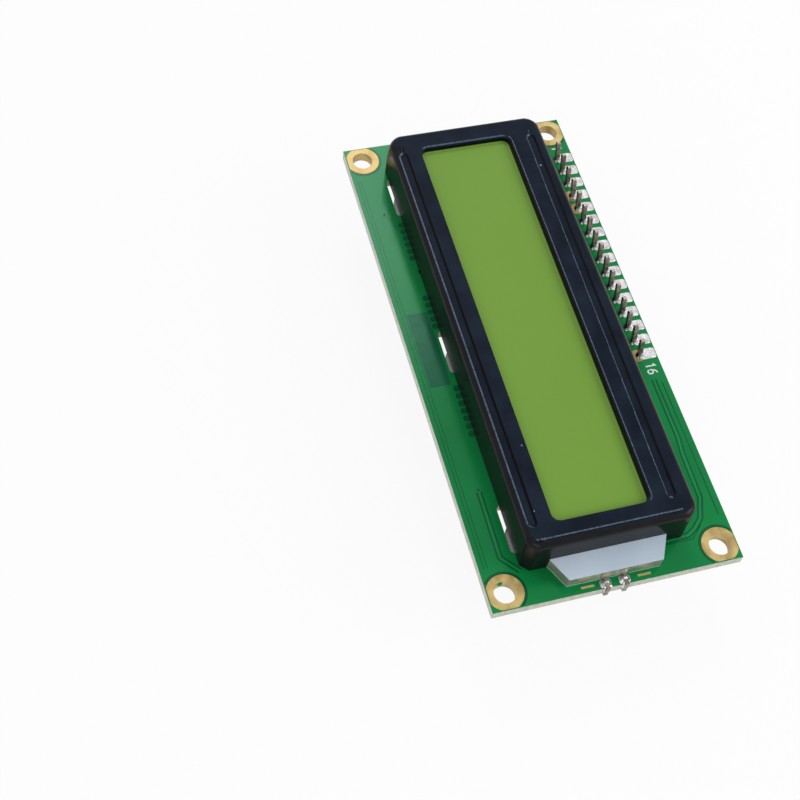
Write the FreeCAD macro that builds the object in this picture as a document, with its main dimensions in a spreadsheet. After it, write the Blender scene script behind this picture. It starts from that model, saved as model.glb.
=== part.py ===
"""Character display module: a two-line liquid crystal panel on its board, with a serial daughter board.

Millimetres. +X runs along the module toward the backlight lamp, +Y toward the header row, +Z out of
the display face. The origin is the middle of the four mounting holes, on the board's front face.
"""
import FreeCAD, Part
import os
import re
import Sketcher

Vector = FreeCAD.Vector

# Driving dimensions
dimensions = {
    # main board and its four plated holes
    "board_length": 80.0, "board_width": 36.0, "board_thick": 1.6, "hole_inset": 2.5,
    "hole_bore": 3.1, "barrel_wall": 0.12, "ring_width": 5.2, "ring_thick": 0.05,
    "ring_edge_gap": 0.15, "peg_x": 15.0, "peg_inset": 6.0, "peg_bore": 1.3,
    # header row through both boards
    "pitch": 2.54, "pin_count": 16, "row_start": 8.0, "row_inset": 2.5,
    "pin_side": 0.64, "pin_bore": 1.15, "pin_point": 0.14, "lean": 8.0,
    "pin_front": 4.95, "pin_beyond": 1.0, "spacer_width": 2.5, "spacer_height": 2.54,
    "joint_width": 1.8, "joint_height": 1.1, "joint_foot": 0.2, "solder_bevel": 0.38,
    "small_joint_width": 1.6, "small_joint_height": 0.5,
    # stamped bezel
    "bezel_end_room": 4.4, "bezel_side_room": 5.95, "bezel_x": -0.33, "bezel_y": -0.45,
    "sheet": 0.5, "edge_round": 0.9, "corner_cut": 1.1,
    "frame_end": 3.4, "frame_side": 5.0, "window_shift_x": 0.08, "window_shift_y": -0.6,
    "window_round": 2.2, "lip_width": 0.45, "lip_drop": 1.0, "lip_bevel": 0.35,
    "rib_end": 3.55, "rib_shift": 0.35, "rib_width": 1.1, "rib_depth": 0.3, "rib_round": 0.4,
    "low_rib_inset": 1.5, "high_rib_inset": 2.5,
    "crease_end": 1.65, "crease_shift": -0.65, "crease_width": 0.3, "crease_inset": 0.95,
    "crease_depth": 0.12, "dimple_bore": 0.9, "dimple_depth": 0.3, "dimple_gap": 0.7,
    # tabs and their slots
    "slot_length": 7.3, "slot_width": 1.4, "slot_cut": 0.4, "slot_end": 6.5,
    "tab_neck": 3.3, "tab_gap": 0.3, "blade_drop": 1.6, "blade_reach": 3.5, "blade_shift": 2.8,
    # display cell, from the lip down
    "polarizer": 0.2, "glass": 1.1, "diffuser": 1.05, "cell_clearance": 0.5, "rear_side": 3.35,
    "polarizer_margin": 1.0, "strip_width": 1.9, "strip_margin": 1.2,
    # backlight
    "backing": 0.15, "guide_thick": 2.0, "film": 0.2, "guide_side": 3.7, "guide_taper": 1.65,
    "guide_reach": 3.33, "guide_inset": 1.2, "guide_clearance": 0.1, "guide_y": -0.55,
    "lamp_width": 3.9, "lamp_depth": 1.3, "lamp_height": 1.7, "lamp_fit": 0.06,
    "lead_spread": 2.7, "lead_width": 0.6, "lead_thick": 0.2, "lead_overhang": 0.1,
    "lead_return": 1.6, "lead_rise": 0.35, "lump_width": 1.8, "lump_height": 0.75,
    "lump_fit": 0.05,
    # driver domes on the back
    "dome_height": 1.7, "dome_roll": 0.55, "dome_roll_height": 0.6,
    "dome_one_x": -12.9, "dome_one_y": -0.5, "dome_one_radius": 6.7,
    "dome_two_x": 13.0, "dome_two_y": 0.5, "dome_two_radius": 5.65,
    # chip parts
    "chip_length": 2.0, "chip_width": 1.25, "chip_height": 0.5, "chip_end": 0.4, "chip_wrap": 0.04,
    "column_x": -31.1, "column_gap": 3.15, "column_step": 2.28, "lone_x": -23.0, "lone_rise": 2.6,
    "edge_slot_gap": 9.2, "edge_row_gap": 1.45,
    "bridge_inset": 8.5, "bridge_y": 5.65, "bridge_width": 1.8, "bridge_height": 0.6,
    # daughter board, in its own leaning frame: x from the first pin, y away from the row, z outward
    "row_end": 1.7, "row_margin": 1.3, "daughter_thick": 1.6, "far_strip": 4.55,
    # trimmer
    "trimmer_gap": 2.73, "trimmer_y": 6.4, "trimmer_width": 6.8, "trimmer_height": 4.8,
    "trimmer_stand": 0.3, "trimmer_cap": 1.3, "trimmer_step": 0.35, "trimmer_rib": 0.5,
    "trimmer_rib_count": 5, "rib_corner": 0.6, "rotor_radius": 1.6, "rotor_gap": 0.06,
    "rotor_height": 2.4, "rotor_recess": 0.12, "cross_rim": 0.25, "cross_width": 0.7,
    "cross_depth": 0.9, "leg_side": 0.5, "leg_spread": 2.54, "leg_through": 0.7, "leg_bore": 0.8,
    "trimmer_dimple": 0.5, "dimple_inset": 0.8, "dimple_shift": 1.7,
    # wide chip
    "wide_gap": 3.4, "wide_y": 7.8, "wide_body_width": 7.5, "case_end": 0.705,
    "wide_stand": 0.12, "wide_lower": 1.05, "wide_upper": 1.25, "wide_draft": 7.0,
    "lead_pitch": 1.27, "side_count": 8, "foot_out": 1.45, "foot_length": 0.85,
    "foot_thick": 0.25, "foot_width": 0.42, "shoulder": 0.5, "mark_bore": 1.0, "mark_depth": 0.08,
    "mark_inset": 1.1,
    # chip parts of the daughter board
    "line_gap_one": 2.5, "line_gap_two": 2.2, "line_gap_three": 2.7, "near_y": 5.6, "far_y": 10.45,
    "far_row_shift": 0.5, "far_row_gap": 2.15, "far_row_step": 4.5, "capacitor_height": 0.8,
    "led_gap": 1.23, "led_length": 3.0, "led_width": 1.5, "led_base": 0.45, "led_lens": 0.6,
    "led_lens_length": 1.9, "led_draft": 12.0,
    # bent headers
    "block_side": 2.54, "block_cut": 0.45, "bend_height": 4.0, "bend_round": 0.6,
    "serial_inset": 1.2, "serial_y": 4.05, "serial_count": 4, "serial_reach": 7.3,
    "jumper_inset": 1.35, "jumper_y": 5.43, "jumper_count": 2, "jumper_reach": 6.5,
    # jumper cap and its clip
    "cap_gap": 0.65, "cap_length": 5.4, "cap_width": 5.0, "cap_height": 2.54,
    "cap_split": 1.3, "cap_split_length": 2.2, "cap_step": 0.35, "cap_step_length": 1.6,
    "socket_width": 0.9, "socket_height": 1.2, "clip_gap": 0.06, "clip_thick": 0.15,
    "clip_length": 3.2, "clip_inset": 0.9,
}

# Sizes and places that follow from the driving ones
derived = {
    "hole_x": "board_length / 2 - hole_inset",
    "hole_y": "board_width / 2 - hole_inset",
    "peg_y": "board_width / 2 - peg_inset",
    "pin_one_x": "row_start - board_length / 2",
    "row_y": "board_width / 2 - row_inset",
    "bezel_length": "board_length - 2 * bezel_end_room",
    "bezel_width": "board_width - 2 * bezel_side_room",
    "bezel_height": "backing + guide_thick + film + diffuser + 2 * (polarizer + glass) + lip_drop",
    "lamp_end_x": "bezel_x + bezel_length / 2",
    "far_end_x": "bezel_x - bezel_length / 2",
    "header_side_y": "bezel_y + (bezel_width - sheet) / 2",
    "other_side_y": "bezel_y - (bezel_width - sheet) / 2",
    "window_length": "bezel_length - 2 * frame_end",
    "window_width": "bezel_width - 2 * frame_side",
    "window_x": "bezel_x + window_shift_x",
    "window_y": "bezel_y + window_shift_y",
    "rib_length": "bezel_length - 2 * rib_end",
    "rib_x": "bezel_x + rib_shift",
    "low_rib_y": "bezel_y - bezel_width / 2 + low_rib_inset",
    "high_rib_y": "bezel_y + bezel_width / 2 - high_rib_inset",
    "crease_length": "bezel_width - 2 * crease_end",
    "slot_step": "bezel_length / 2 - slot_end",
    "rear_glass_width": "bezel_width - 2 * rear_side",
    "guide_width": "bezel_width - 2 * guide_side",
    "guide_end_width": "guide_width - 2 * guide_taper",
    "column_low": "other_side_y + blade_shift + column_gap",
    "lone_y": "column_low + lone_rise",
    "edge_x": "bezel_x + slot_step - edge_slot_gap",
    "edge_y": "header_side_y + edge_row_gap",
    "bridge_x": "board_length / 2 - bridge_inset",
    "wide_body_length": "(side_count - 1) * lead_pitch + 2 * case_end",
    "foot_span": "wide_body_width + 2 * foot_out",
    "daughter_length": "(pin_count - 1) * pitch + 2 * row_end",
    "daughter_width": "row_margin + wide_y + wide_body_length / 2 + far_strip",
    "serial_x": "serial_inset - row_end",
    "trimmer_x": "serial_x + block_side / 2 + trimmer_gap + trimmer_width / 2",
    "trimmer_rib_step": "(trimmer_width - 2 * rib_corner) / (trimmer_rib_count - 1)",
    "cross_length": "2 * (rotor_radius - cross_rim)",
    "wide_x": "trimmer_x + trimmer_width / 2 + wide_gap + foot_span / 2",
    "jumper_x": "daughter_length - row_end - jumper_inset",
    "led_x": "jumper_x - block_side / 2 - led_gap - led_width / 2",
    "line_three_x": "led_x - line_gap_three",
    "line_two_x": "line_three_x - line_gap_two",
    "line_one_x": "line_two_x - line_gap_one",
    "far_row_x": "wide_x + far_row_shift",
    "far_row_y": "wide_y + wide_body_length / 2 + far_row_gap",
}

os.makedirs("parts", exist_ok=True)
doc = FreeCAD.newDocument("display_module")
sheet = doc.addObject("Spreadsheet::Sheet", "sizes")
cells = {**dimensions, **{alias: "=" + formula for alias, formula in derived.items()}}
for row, (alias, content) in enumerate(cells.items(), start=1):
    sheet.set("A%d" % row, alias)
    sheet.set("B%d" % row, str(content))
    sheet.setAlias("B%d" % row, alias)
doc.recompute()


# Expressions on the sheet
def from_sheet(text):
    """Return an expression with each size's name written as a cell of the sheet."""
    def cell(match):
        word = match.group()
        return "sizes." + word if word in cells else word
    return re.sub(r"[a-z_]+", cell, text)


def value(text):
    """Return what an expression is worth now."""
    return float(sheet.evalExpression(from_sheet(text)))


def bind(thing, prop, text):
    """Tie one property of an object to an expression on the sheet."""
    thing.setExpression(prop, from_sheet(text))


def bind_place(thing, place):
    """Tie an object's position to three expressions."""
    for axis, text in zip("xyz", place):
        bind(thing, "Placement.Base." + axis, text)


# Bodies and their frames
nodes = []


def new_body(label, leaning=False, kept=True):
    """Start a body; a leaning one lies in the daughter board's frame, a kept one is a sub-part."""
    body = doc.addObject("PartDesign::Body", label)
    body.Label = label
    body.AllowCompound = True
    if leaning:
        turn = FreeCAD.Rotation(Vector(-1, 0, 0), 180 - value("lean"))
        body.Placement = FreeCAD.Placement(Vector(0, 0, 0), turn)
        bind_place(body, ("pin_one_x", "row_y", "-board_thick / 2"))
        bind(body, "Placement.Rotation.Angle", "180 - lean")
    if kept:
        nodes.append(body)
    return body


def origin_of(body, role):
    """Return one of the body's own origin axes or planes."""
    return next(item for item in body.Origin.OriginFeatures if item.Role == role)


def new_sketch(body, name, plane="XY_Plane", height="0"):
    """Attach a sketch to one of the body's origin planes, moved along its normal."""
    sketch = body.newObject("Sketcher::SketchObject", name)
    sketch.AttachmentSupport = (origin_of(body, plane), [""])
    sketch.MapMode = "FlatFace"
    bind(sketch, "AttachmentOffset.Base.z", height)
    return sketch


def fix(sketch, kind, first, place, text):
    """Hold one coordinate of a sketch point at an expression."""
    index = sketch.addConstraint(Sketcher.Constraint(kind, -1, 1, first, place, value(text)))
    bind(sketch, "Constraints[%d]" % index, text)


def outline(sketch, corners):
    """Draw a closed polygon whose corners are pairs of expressions."""
    first = sketch.GeometryCount
    points = [Vector(value(x), value(y), 0) for x, y in corners]
    count = len(points)
    for index in range(count):
        sketch.addGeometry(Part.LineSegment(points[index], points[(index + 1) % count]))
    for index, (x, y) in enumerate(corners):
        line = first + index
        following = first + (index + 1) % count
        sketch.addConstraint(Sketcher.Constraint("Coincident", line, 2, following, 1))
        fix(sketch, "DistanceX", line, 1, x)
        fix(sketch, "DistanceY", line, 1, y)


def rectangle(sketch, left, right, low, high):
    """Draw an upright rectangle between four expressions."""
    outline(sketch, [(left, low), (right, low), (right, high), (left, high)])


def circle(sketch, x, y, radius):
    """Draw a circle at expressions."""
    middle = Vector(value(x), value(y), 0)
    index = sketch.addGeometry(Part.Circle(middle, Vector(0, 0, 1), value(radius)))
    fix(sketch, "DistanceX", index, 3, x)
    fix(sketch, "DistanceY", index, 3, y)
    held = sketch.addConstraint(Sketcher.Constraint("Radius", index, value(radius)))
    bind(sketch, "Constraints[%d]" % held, radius)


def octagon(sketch, x, y, side, cut=None):
    """Draw a square with cut corners round a middle, or a regular octagon where no cut is given."""
    cut = cut or "(%s) / (2 + sqrt(2))" % side
    half = "(%s) / 2" % side
    corners = []
    for sx, sy, side_first in ((-1, -1, True), (1, -1, False), (1, 1, True), (-1, 1, False)):
        on_side = ("%s + %d * %s" % (x, sx, half), "%s + %d * (%s - %s)" % (y, sy, half, cut))
        on_end = ("%s + %d * (%s - %s)" % (x, sx, half, cut), "%s + %d * %s" % (y, sy, half))
        corners += [on_side, on_end] if side_first else [on_end, on_side]
    outline(sketch, corners)


# Features
def pad(body, sketch, length, downward=False):
    """Add material from a sketch along its normal."""
    feature = body.newObject("PartDesign::Pad", sketch.Name + "_pad")
    feature.Profile = sketch
    feature.Reversed = downward
    bind(feature, "Length", length)
    return feature


def pocket(body, sketch, depth, upward=False):
    """Remove material below a sketch, or above it."""
    feature = body.newObject("PartDesign::Pocket", sketch.Name + "_pocket")
    feature.Profile = sketch
    feature.Reversed = upward
    bind(feature, "Length", depth)
    return feature


def box(body, name, place, size, cut=False):
    """Add or cut a box with its lowest corner at place."""
    kind = "PartDesign::SubtractiveBox" if cut else "PartDesign::AdditiveBox"
    feature = body.newObject(kind, name)
    bind_place(feature, place)
    for prop, text in zip(("Length", "Width", "Height"), size):
        bind(feature, prop, text)
    return feature


def square_post(body, name, place, side, height, cut=False):
    """Add or cut a square post that stands at place."""
    x, y, z = place
    corner = ("%s - %s / 2" % (x, side), "%s - %s / 2" % (y, side), z)
    return box(body, name, corner, (side, side, height), cut)


def drum(body, name, place, radius, height, cut=False):
    """Add or cut an upright cylinder that stands at place."""
    kind = "PartDesign::SubtractiveCylinder" if cut else "PartDesign::AdditiveCylinder"
    feature = body.newObject(kind, name)
    bind_place(feature, place)
    bind(feature, "Radius", radius)
    bind(feature, "Height", height)
    return feature


def repeat(body, features, axis, count, step):
    """Repeat features along one of the body's axes."""
    pattern = body.newObject("PartDesign::LinearPattern", features[0].Name + "_row")
    pattern.Originals = features
    pattern.Direction = (origin_of(body, axis), [""])
    bind(pattern, "Occurrences", count)
    bind(pattern, "Length", "(%s) * (%s - 1)" % (step, count))
    body.Tip = pattern
    return pattern


def dress(body, kind, prop, size, chosen):
    """Round or chamfer the edges of the body's tip that the test picks."""
    doc.recompute()
    base = body.Tip
    feature = body.newObject("PartDesign::" + kind, base.Name + "_" + kind.lower())
    edges = ["Edge%d" % (i + 1) for i, edge in enumerate(base.Shape.Edges) if chosen(edge)]
    feature.Base = (base, edges)
    bind(feature, prop, size)
    return feature


def solder(body, name, place, width, height, downward=False):
    """Add an eight-sided lump of solder with a bevelled top, and return its features."""
    x, y, z = place
    foot = new_sketch(body, name, height=z)
    octagon(foot, x, y, width)
    lump = pad(body, foot, height, downward)
    top = Vector(value(x), value(y), value("%s + %d * %s" % (z, -1 if downward else 1, height)))
    bevel = dress(body, "Chamfer", "Size", "solder_bevel",
                  lambda edge: at_height(edge, top.z)
                  and edge.CenterOfMass.distanceToPoint(top) < 0.6 * value(width))
    return [lump, bevel]


def at_height(edge, height):
    """Say whether an edge lies flat at a height."""
    return all(abs(vertex.Z - height) < 1e-4 for vertex in edge.Vertexes)


def parallel_to(edge, axis):
    """Say whether an edge is straight and parallel to an axis, given as a letter."""
    box_sizes = {"x": edge.BoundBox.XLength, "y": edge.BoundBox.YLength, "z": edge.BoundBox.ZLength}
    along = box_sizes.pop(axis)
    return along > 1e-4 and max(box_sizes.values()) < 1e-6


def cut_rectangle(sketch, x, y, half_x, half_y, corner):
    """Draw a rectangle with cut corners round a middle point."""
    corners = []
    for sx, sy, end_first in ((-1, -1, True), (1, -1, False), (1, 1, True), (-1, 1, False)):
        on_end = ("%s + %d * %s" % (x, sx, half_x), "%s + %d * (%s - %s)" % (y, sy, half_y, corner))
        on_side = ("%s + %d * (%s - %s)" % (x, sx, half_x, corner), "%s + %d * %s" % (y, sy, half_y))
        corners += [on_end, on_side] if end_first else [on_side, on_end]
    outline(sketch, corners)


def cut_by(label, body, tool):
    """Keep what is left of a body once another sub-part's room is taken out of it."""
    result = doc.addObject("Part::Cut", label)
    result.Label = label
    result.Base = body
    result.Tool = tool
    nodes.append(result)
    return result


# Places that several sub-parts share
seat_height = "((board_thick / 2 + spacer_width / 2 * sin(lean)) / cos(lean))"
inner_face = "(%s + spacer_height)" % seat_height
outer_face = "(%s + daughter_thick)" % inner_face
slot_middles = ("(bezel_x - slot_step)", "bezel_x", "(bezel_x + slot_step)")
hole_middles = [("%s * hole_x" % a, "%s * hole_y" % b) for a in ("-1", "1") for b in ("-1", "1")]
leg_places = [("trimmer_x - leg_spread", "trimmer_y - leg_spread / 2"),
              ("trimmer_x + leg_spread", "trimmer_y - leg_spread / 2"),
              ("trimmer_x", "trimmer_y + leg_spread")]


# Main board: outline, plated holes, pin row, tab slots, peg holes
def main_board():
    """Make the green board."""
    body = new_body("main_board")
    plan = new_sketch(body, "board_outline", height="-board_thick")
    rectangle(plan, "-board_length / 2", "board_length / 2", "-board_width / 2", "board_width / 2")
    pad(body, plan, "board_thick")
    holes = new_sketch(body, "board_holes")
    for x, y in hole_middles:
        circle(holes, x, y, "hole_bore / 2 + barrel_wall")
    for sign in ("-1", "1"):
        circle(holes, sign + " * peg_x", sign + " * peg_y", "peg_bore / 2")
    pocket(body, holes, "board_thick")
    slots = new_sketch(body, "tab_slots")
    for x in slot_middles:
        for y in ("header_side_y", "other_side_y"):
            cut_rectangle(slots, x, y, "slot_length / 2", "slot_width / 2", "slot_cut")
    pocket(body, slots, "board_thick")
    pin_hole = new_sketch(body, "board_pin_hole")
    octagon(pin_hole, "pin_one_x", "row_y", "pin_bore")
    repeat(body, [pocket(body, pin_hole, "board_thick")], "X_Axis", "pin_count", "pitch")


def hole_rings():
    """Make the plated barrels with a flange on each face, clipped short of the board's edge."""
    body = new_body("hole_rings")
    for index, (x, y) in enumerate(hole_middles):
        drum(body, "ring_barrel_%d" % index, (x, y, "-board_thick - ring_thick"),
             "hole_bore / 2 + barrel_wall", "board_thick + 2 * ring_thick")
        for side, z in (("back", "-board_thick - ring_thick"), ("front", "0")):
            drum(body, "ring_%s_%d" % (side, index), (x, y, z), "ring_width / 2", "ring_thick")
    clip = new_sketch(body, "ring_clip", height="ring_thick")
    rectangle(clip, "-board_length", "board_length", "-board_width", "board_width")
    rectangle(clip, "ring_edge_gap - board_length / 2", "board_length / 2 - ring_edge_gap",
              "ring_edge_gap - board_width / 2", "board_width / 2 - ring_edge_gap")
    pocket(body, clip, "board_thick + 2 * ring_thick")
    bores = new_sketch(body, "ring_bores", height="ring_thick")
    for x, y in hole_middles:
        circle(bores, x, y, "hole_bore / 2")
    pocket(body, bores, "board_thick + 2 * ring_thick")


# Header row: leaning pins, scalloped spacer, solder joints on both boards
def header_pins():
    """Make the sixteen square pins with chamfered tips."""
    body = new_body("header_pins", leaning=True)
    section = new_sketch(body, "pin_section", height="-pin_front")
    rectangle(section, "-pin_side / 2", "pin_side / 2", "-pin_side / 2", "pin_side / 2")
    length = "(pin_front + %s + pin_beyond)" % outer_face
    pin = pad(body, section, length)
    ends = (-value("pin_front"), value(length) - value("pin_front"))
    points = dress(body, "Chamfer", "Size", "pin_point",
                   lambda edge: any(at_height(edge, end) for end in ends))
    repeat(body, [pin, points], "X_Axis", "pin_count", "pitch")
    return body


def header_spacer():
    """Make the moulding between the boards, one bay with cut corners for each pin."""
    body = new_body("header_spacer", leaning=True)
    bay = new_sketch(body, "spacer_bay", height=seat_height)
    left = "-pitch / 2"
    right = "pitch / 2"
    side = "spacer_width / 2"
    outline(bay, [(left, "block_cut - " + side), (left + " + block_cut", "-" + side),
                  (right + " - block_cut", "-" + side), (right, "block_cut - " + side),
                  (right, side + " - block_cut"), (right + " - block_cut", side),
                  (left + " + block_cut", side), (left, side + " - block_cut")])
    rectangle(bay, "-pin_side / 2", "pin_side / 2", "-pin_side / 2", "pin_side / 2")
    repeat(body, [pad(body, bay, "spacer_height")], "X_Axis", "pin_count", "pitch")


def front_joints(pins):
    """Make the solder round each pin on the display side, with a foot that runs to the edge."""
    body = new_body("front_solder", kept=False)
    foot = box(body, "front_foot", ("pin_one_x - joint_width / 2", "row_y", "0"),
               ("joint_width", "board_width / 2 - ring_edge_gap - row_y", "joint_foot"))
    pin_y = "(row_y - (joint_height + board_thick) / 2 * tan(lean))"
    rise = solder(body, "front_rise", ("pin_one_x", pin_y, "0"), "joint_width", "joint_height")
    repeat(body, [foot] + rise, "X_Axis", "pin_count", "pitch")
    cut_by("front_joints", body, pins)


def rear_joints():
    """Make the solder round each pin on the daughter board's outer face."""
    body = new_body("rear_joints", leaning=True)
    foot = ("0", "0", outer_face)
    rise = solder(body, "rear_rise", foot, "joint_width", "joint_height")
    hole = square_post(body, "rear_hole", foot, "pin_side", "joint_height", cut=True)
    repeat(body, rise + [hole], "X_Axis", "pin_count", "pitch")


# Stamped bezel: drawn tray, turned-in window lip, pressed ribs, coined ends, twisted tabs
half_long = "bezel_length / 2"
half_wide = "bezel_width / 2"
window_sides = ("window_x - window_length / 2", "window_x + window_length / 2",
                "window_y - window_width / 2", "window_y + window_width / 2")


def tray_outline(sketch, inset):
    """Draw the bezel's outline with cut corners, set in from the outside."""
    corner = "(corner_cut - %s * tan(22.5))" % inset
    wide = "(%s - %s)" % (half_wide, inset)
    long = "(%s - %s)" % (half_long, inset)
    cut_rectangle(sketch, "bezel_x", "bezel_y", long, wide, corner)


def in_window(point, spread=1e-3):
    """Say whether a point lies in the window's plan."""
    left, right, low, high = [value(text) for text in window_sides]
    return left - spread < point.x < right + spread and low - spread < point.y < high + spread


def bezel_window(body):
    """Turn a lip down round the window, round its corners and ease its edge."""
    left, right, low, high = window_sides
    lip = new_sketch(body, "window_lip", height="bezel_height - lip_drop")
    rectangle(lip, left + " - lip_width", right + " + lip_width", low + " - lip_width",
              high + " + lip_width")
    pad(body, lip, "lip_drop - sheet")
    opening = new_sketch(body, "window_opening", height="bezel_height")
    rectangle(opening, left, right, low, high)
    pocket(body, opening, "lip_drop")
    dress(body, "Fillet", "Radius", "window_round",
          lambda edge: parallel_to(edge, "z") and in_window(edge.CenterOfMass))
    top = value("bezel_height")
    dress(body, "Chamfer", "Size", "lip_bevel",
          lambda edge: at_height(edge, top) and in_window(edge.CenterOfMass))


def bezel_ribs(body):
    """Press a long channel beside each long side, with a dimple past its far end."""
    for name in ("low", "high"):
        middle = name + "_rib_y"
        back = new_sketch(body, "rib_back_" + name, height="bezel_height - sheet - rib_depth")
        rectangle(back, "rib_x - (rib_length + sheet) / 2", "rib_x + (rib_length + sheet) / 2",
                  middle + " - (rib_width + sheet) / 2", middle + " + (rib_width + sheet) / 2")
        pad(body, back, "rib_depth")
        groove = new_sketch(body, "rib_" + name, height="bezel_height")
        rectangle(groove, "rib_x - rib_length / 2", "rib_x + rib_length / 2",
                  middle + " - rib_width / 2", middle + " + rib_width / 2")
        pocket(body, groove, "rib_depth")
        half_depth = value("bezel_height - rib_depth / 2")
        corners = [Vector(value("rib_x + %s * rib_length / 2" % x),
                          value(middle + " + %s * rib_width / 2" % y), half_depth)
                   for x in ("-1", "1") for y in ("-1", "1")]
        dress(body, "Fillet", "Radius", "rib_round",
              lambda edge: any(edge.CenterOfMass.distanceToPoint(corner) < 1e-3 for corner in corners))
    dimples = new_sketch(body, "rib_dimples", height="bezel_height")
    for name in ("low", "high"):
        octagon(dimples, "rib_x - rib_length / 2 - dimple_gap", name + "_rib_y", "dimple_bore")
    pocket(body, dimples, "dimple_depth")


def bezel_ends(body):
    """Coin a fine line across the lamp's end, and open its wall for the light guide."""
    line = new_sketch(body, "end_crease", height="bezel_height")
    rectangle(line, "lamp_end_x - crease_inset - crease_width / 2",
              "lamp_end_x - crease_inset + crease_width / 2",
              "bezel_y + crease_shift - crease_length / 2", "bezel_y + crease_shift + crease_length / 2")
    pocket(body, line, "crease_depth")
    opening = new_sketch(body, "guide_opening")
    rectangle(opening, "lamp_end_x - 2 * sheet", "lamp_end_x + sheet",
              "guide_y - guide_width / 2 - guide_clearance",
              "guide_y + guide_width / 2 + guide_clearance")
    pocket(body, opening, "backing + guide_thick + film + guide_clearance", upward=True)


def bezel_tabs(body):
    """Run six necks through the slots, each with a blade that is twisted over the board's back."""
    for index, x in enumerate(slot_middles):
        for name, sign, side_y in (("low", "1", "other_side_y"), ("high", "-1", "header_side_y")):
            far = "(%s + %s * (slot_length / 2 - tab_gap))" % (x, sign)
            near = "(%s - %s * tab_neck)" % (far, sign)
            tip = "(%s - %s * blade_reach)" % (near, sign)
            tip_y = "(%s + %s * blade_shift)" % (side_y, sign)
            neck = new_sketch(body, "tab_neck_%s_%d" % (name, index))
            rectangle(neck, near, far, side_y + " - sheet / 2", side_y + " + sheet / 2")
            pad(body, neck, "board_thick", downward=True)
            blade = new_sketch(body, "tab_blade_%s_%d" % (name, index), height="-board_thick")
            outline(blade, [(far, side_y + " - sheet / 2"), (near, side_y + " - sheet / 2"),
                            (tip, tip_y + " - sheet / 2"), (tip, tip_y + " + sheet / 2"),
                            (near, side_y + " + sheet / 2"), (far, side_y + " + sheet / 2")])
            pad(body, blade, "blade_drop", downward=True)


def bezel():
    """Make the stamped steel frame that clamps the display to the board."""
    body = new_body("bezel")
    outside = new_sketch(body, "tray_outside")
    tray_outline(outside, "0")
    pad(body, outside, "bezel_height")
    top = value("bezel_height")
    dress(body, "Fillet", "Radius", "edge_round", lambda edge: at_height(edge, top))
    inside = new_sketch(body, "tray_inside")
    tray_outline(inside, "sheet")
    pocket(body, inside, "bezel_height - sheet", upward=True)
    bezel_window(body)
    bezel_ribs(body)
    bezel_ends(body)
    bezel_tabs(body)


# Display cell: glass and polarizers stacked down from the lip, diffuser on the light guide's film
cell_top = "(bezel_height - lip_drop)"
cell_half_long = "(%s - sheet - cell_clearance)" % half_long
cell_half_wide = "(%s - sheet - cell_clearance)" % half_wide
strip_top = "(%s - polarizer - glass)" % cell_top
rear_half_wide = "(rear_glass_width / 2)"
diffuser_top = "(%s - glass - polarizer)" % strip_top
film_top = "(backing + guide_thick + film)"


def plate(label, low, high, half_length, half_width):
    """Make a flat plate of the cell, centred on the bezel."""
    body = new_body(label)
    box(body, label + "_plate", ("bezel_x - " + half_length, "bezel_y - " + half_width, low),
        ("2 * " + half_length, "2 * " + half_width, "%s - %s" % (high, low)))


def display_cell():
    """Make the glass sandwich, its diffuser and the two rubber strips that feed it."""
    inner_long = "(%s - polarizer_margin)" % cell_half_long
    inner_wide = "(%s - polarizer_margin)" % cell_half_wide
    rear_wide = "(%s - polarizer_margin / 2)" % rear_half_wide
    plate("front_polarizer", "(%s - polarizer)" % cell_top, cell_top, inner_long, inner_wide)
    plate("front_glass", strip_top, "(%s - polarizer)" % cell_top, cell_half_long, cell_half_wide)
    plate("rear_glass", "(%s - glass)" % strip_top, strip_top, cell_half_long, rear_half_wide)
    plate("rear_polarizer", diffuser_top, "(%s - glass)" % strip_top, inner_long, rear_wide)
    plate("diffuser_sheet", film_top, diffuser_top, inner_long, rear_wide)
    strips = new_body("contact_strips")
    for name, sign in (("low", "-1"), ("high", "1")):
        middle = "(bezel_y + %s * (%s - strip_width / 2))" % (sign, cell_half_wide)
        box(strips, "strip_" + name,
            ("bezel_x + strip_margin - " + cell_half_long, middle + " - strip_width / 2", "0"),
            ("2 * (%s - strip_margin)" % cell_half_long, "strip_width", strip_top))


# Backlight: a clear guide whose tongue passes under the end wall and takes the lamp in a notch
guide_end = "(lamp_end_x + guide_reach)"


def guide_layer(label, low, thick, notched=True):
    """Make one layer with the guide's outline, with or without the lamp's notch."""
    body = new_body(label)
    plan = new_sketch(body, label + "_plan", height=low)
    left = "far_end_x + guide_inset"
    corners = [(left, "guide_y - guide_width / 2"), ("lamp_end_x", "guide_y - guide_width / 2"),
               (guide_end, "guide_y - guide_end_width / 2")]
    if notched:
        depth = guide_end + " - lamp_depth - lamp_fit"
        low_side = "guide_y - lamp_width / 2 - lamp_fit"
        high_side = "guide_y + lamp_width / 2 + lamp_fit"
        corners += [(guide_end, low_side), (depth, low_side), (depth, high_side),
                    (guide_end, high_side)]
    corners += [(guide_end, "guide_y + guide_end_width / 2"),
                ("lamp_end_x", "guide_y + guide_width / 2"),
                (left, "guide_y + guide_width / 2")]
    outline(plan, corners)
    pad(body, plan, thick)


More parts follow.
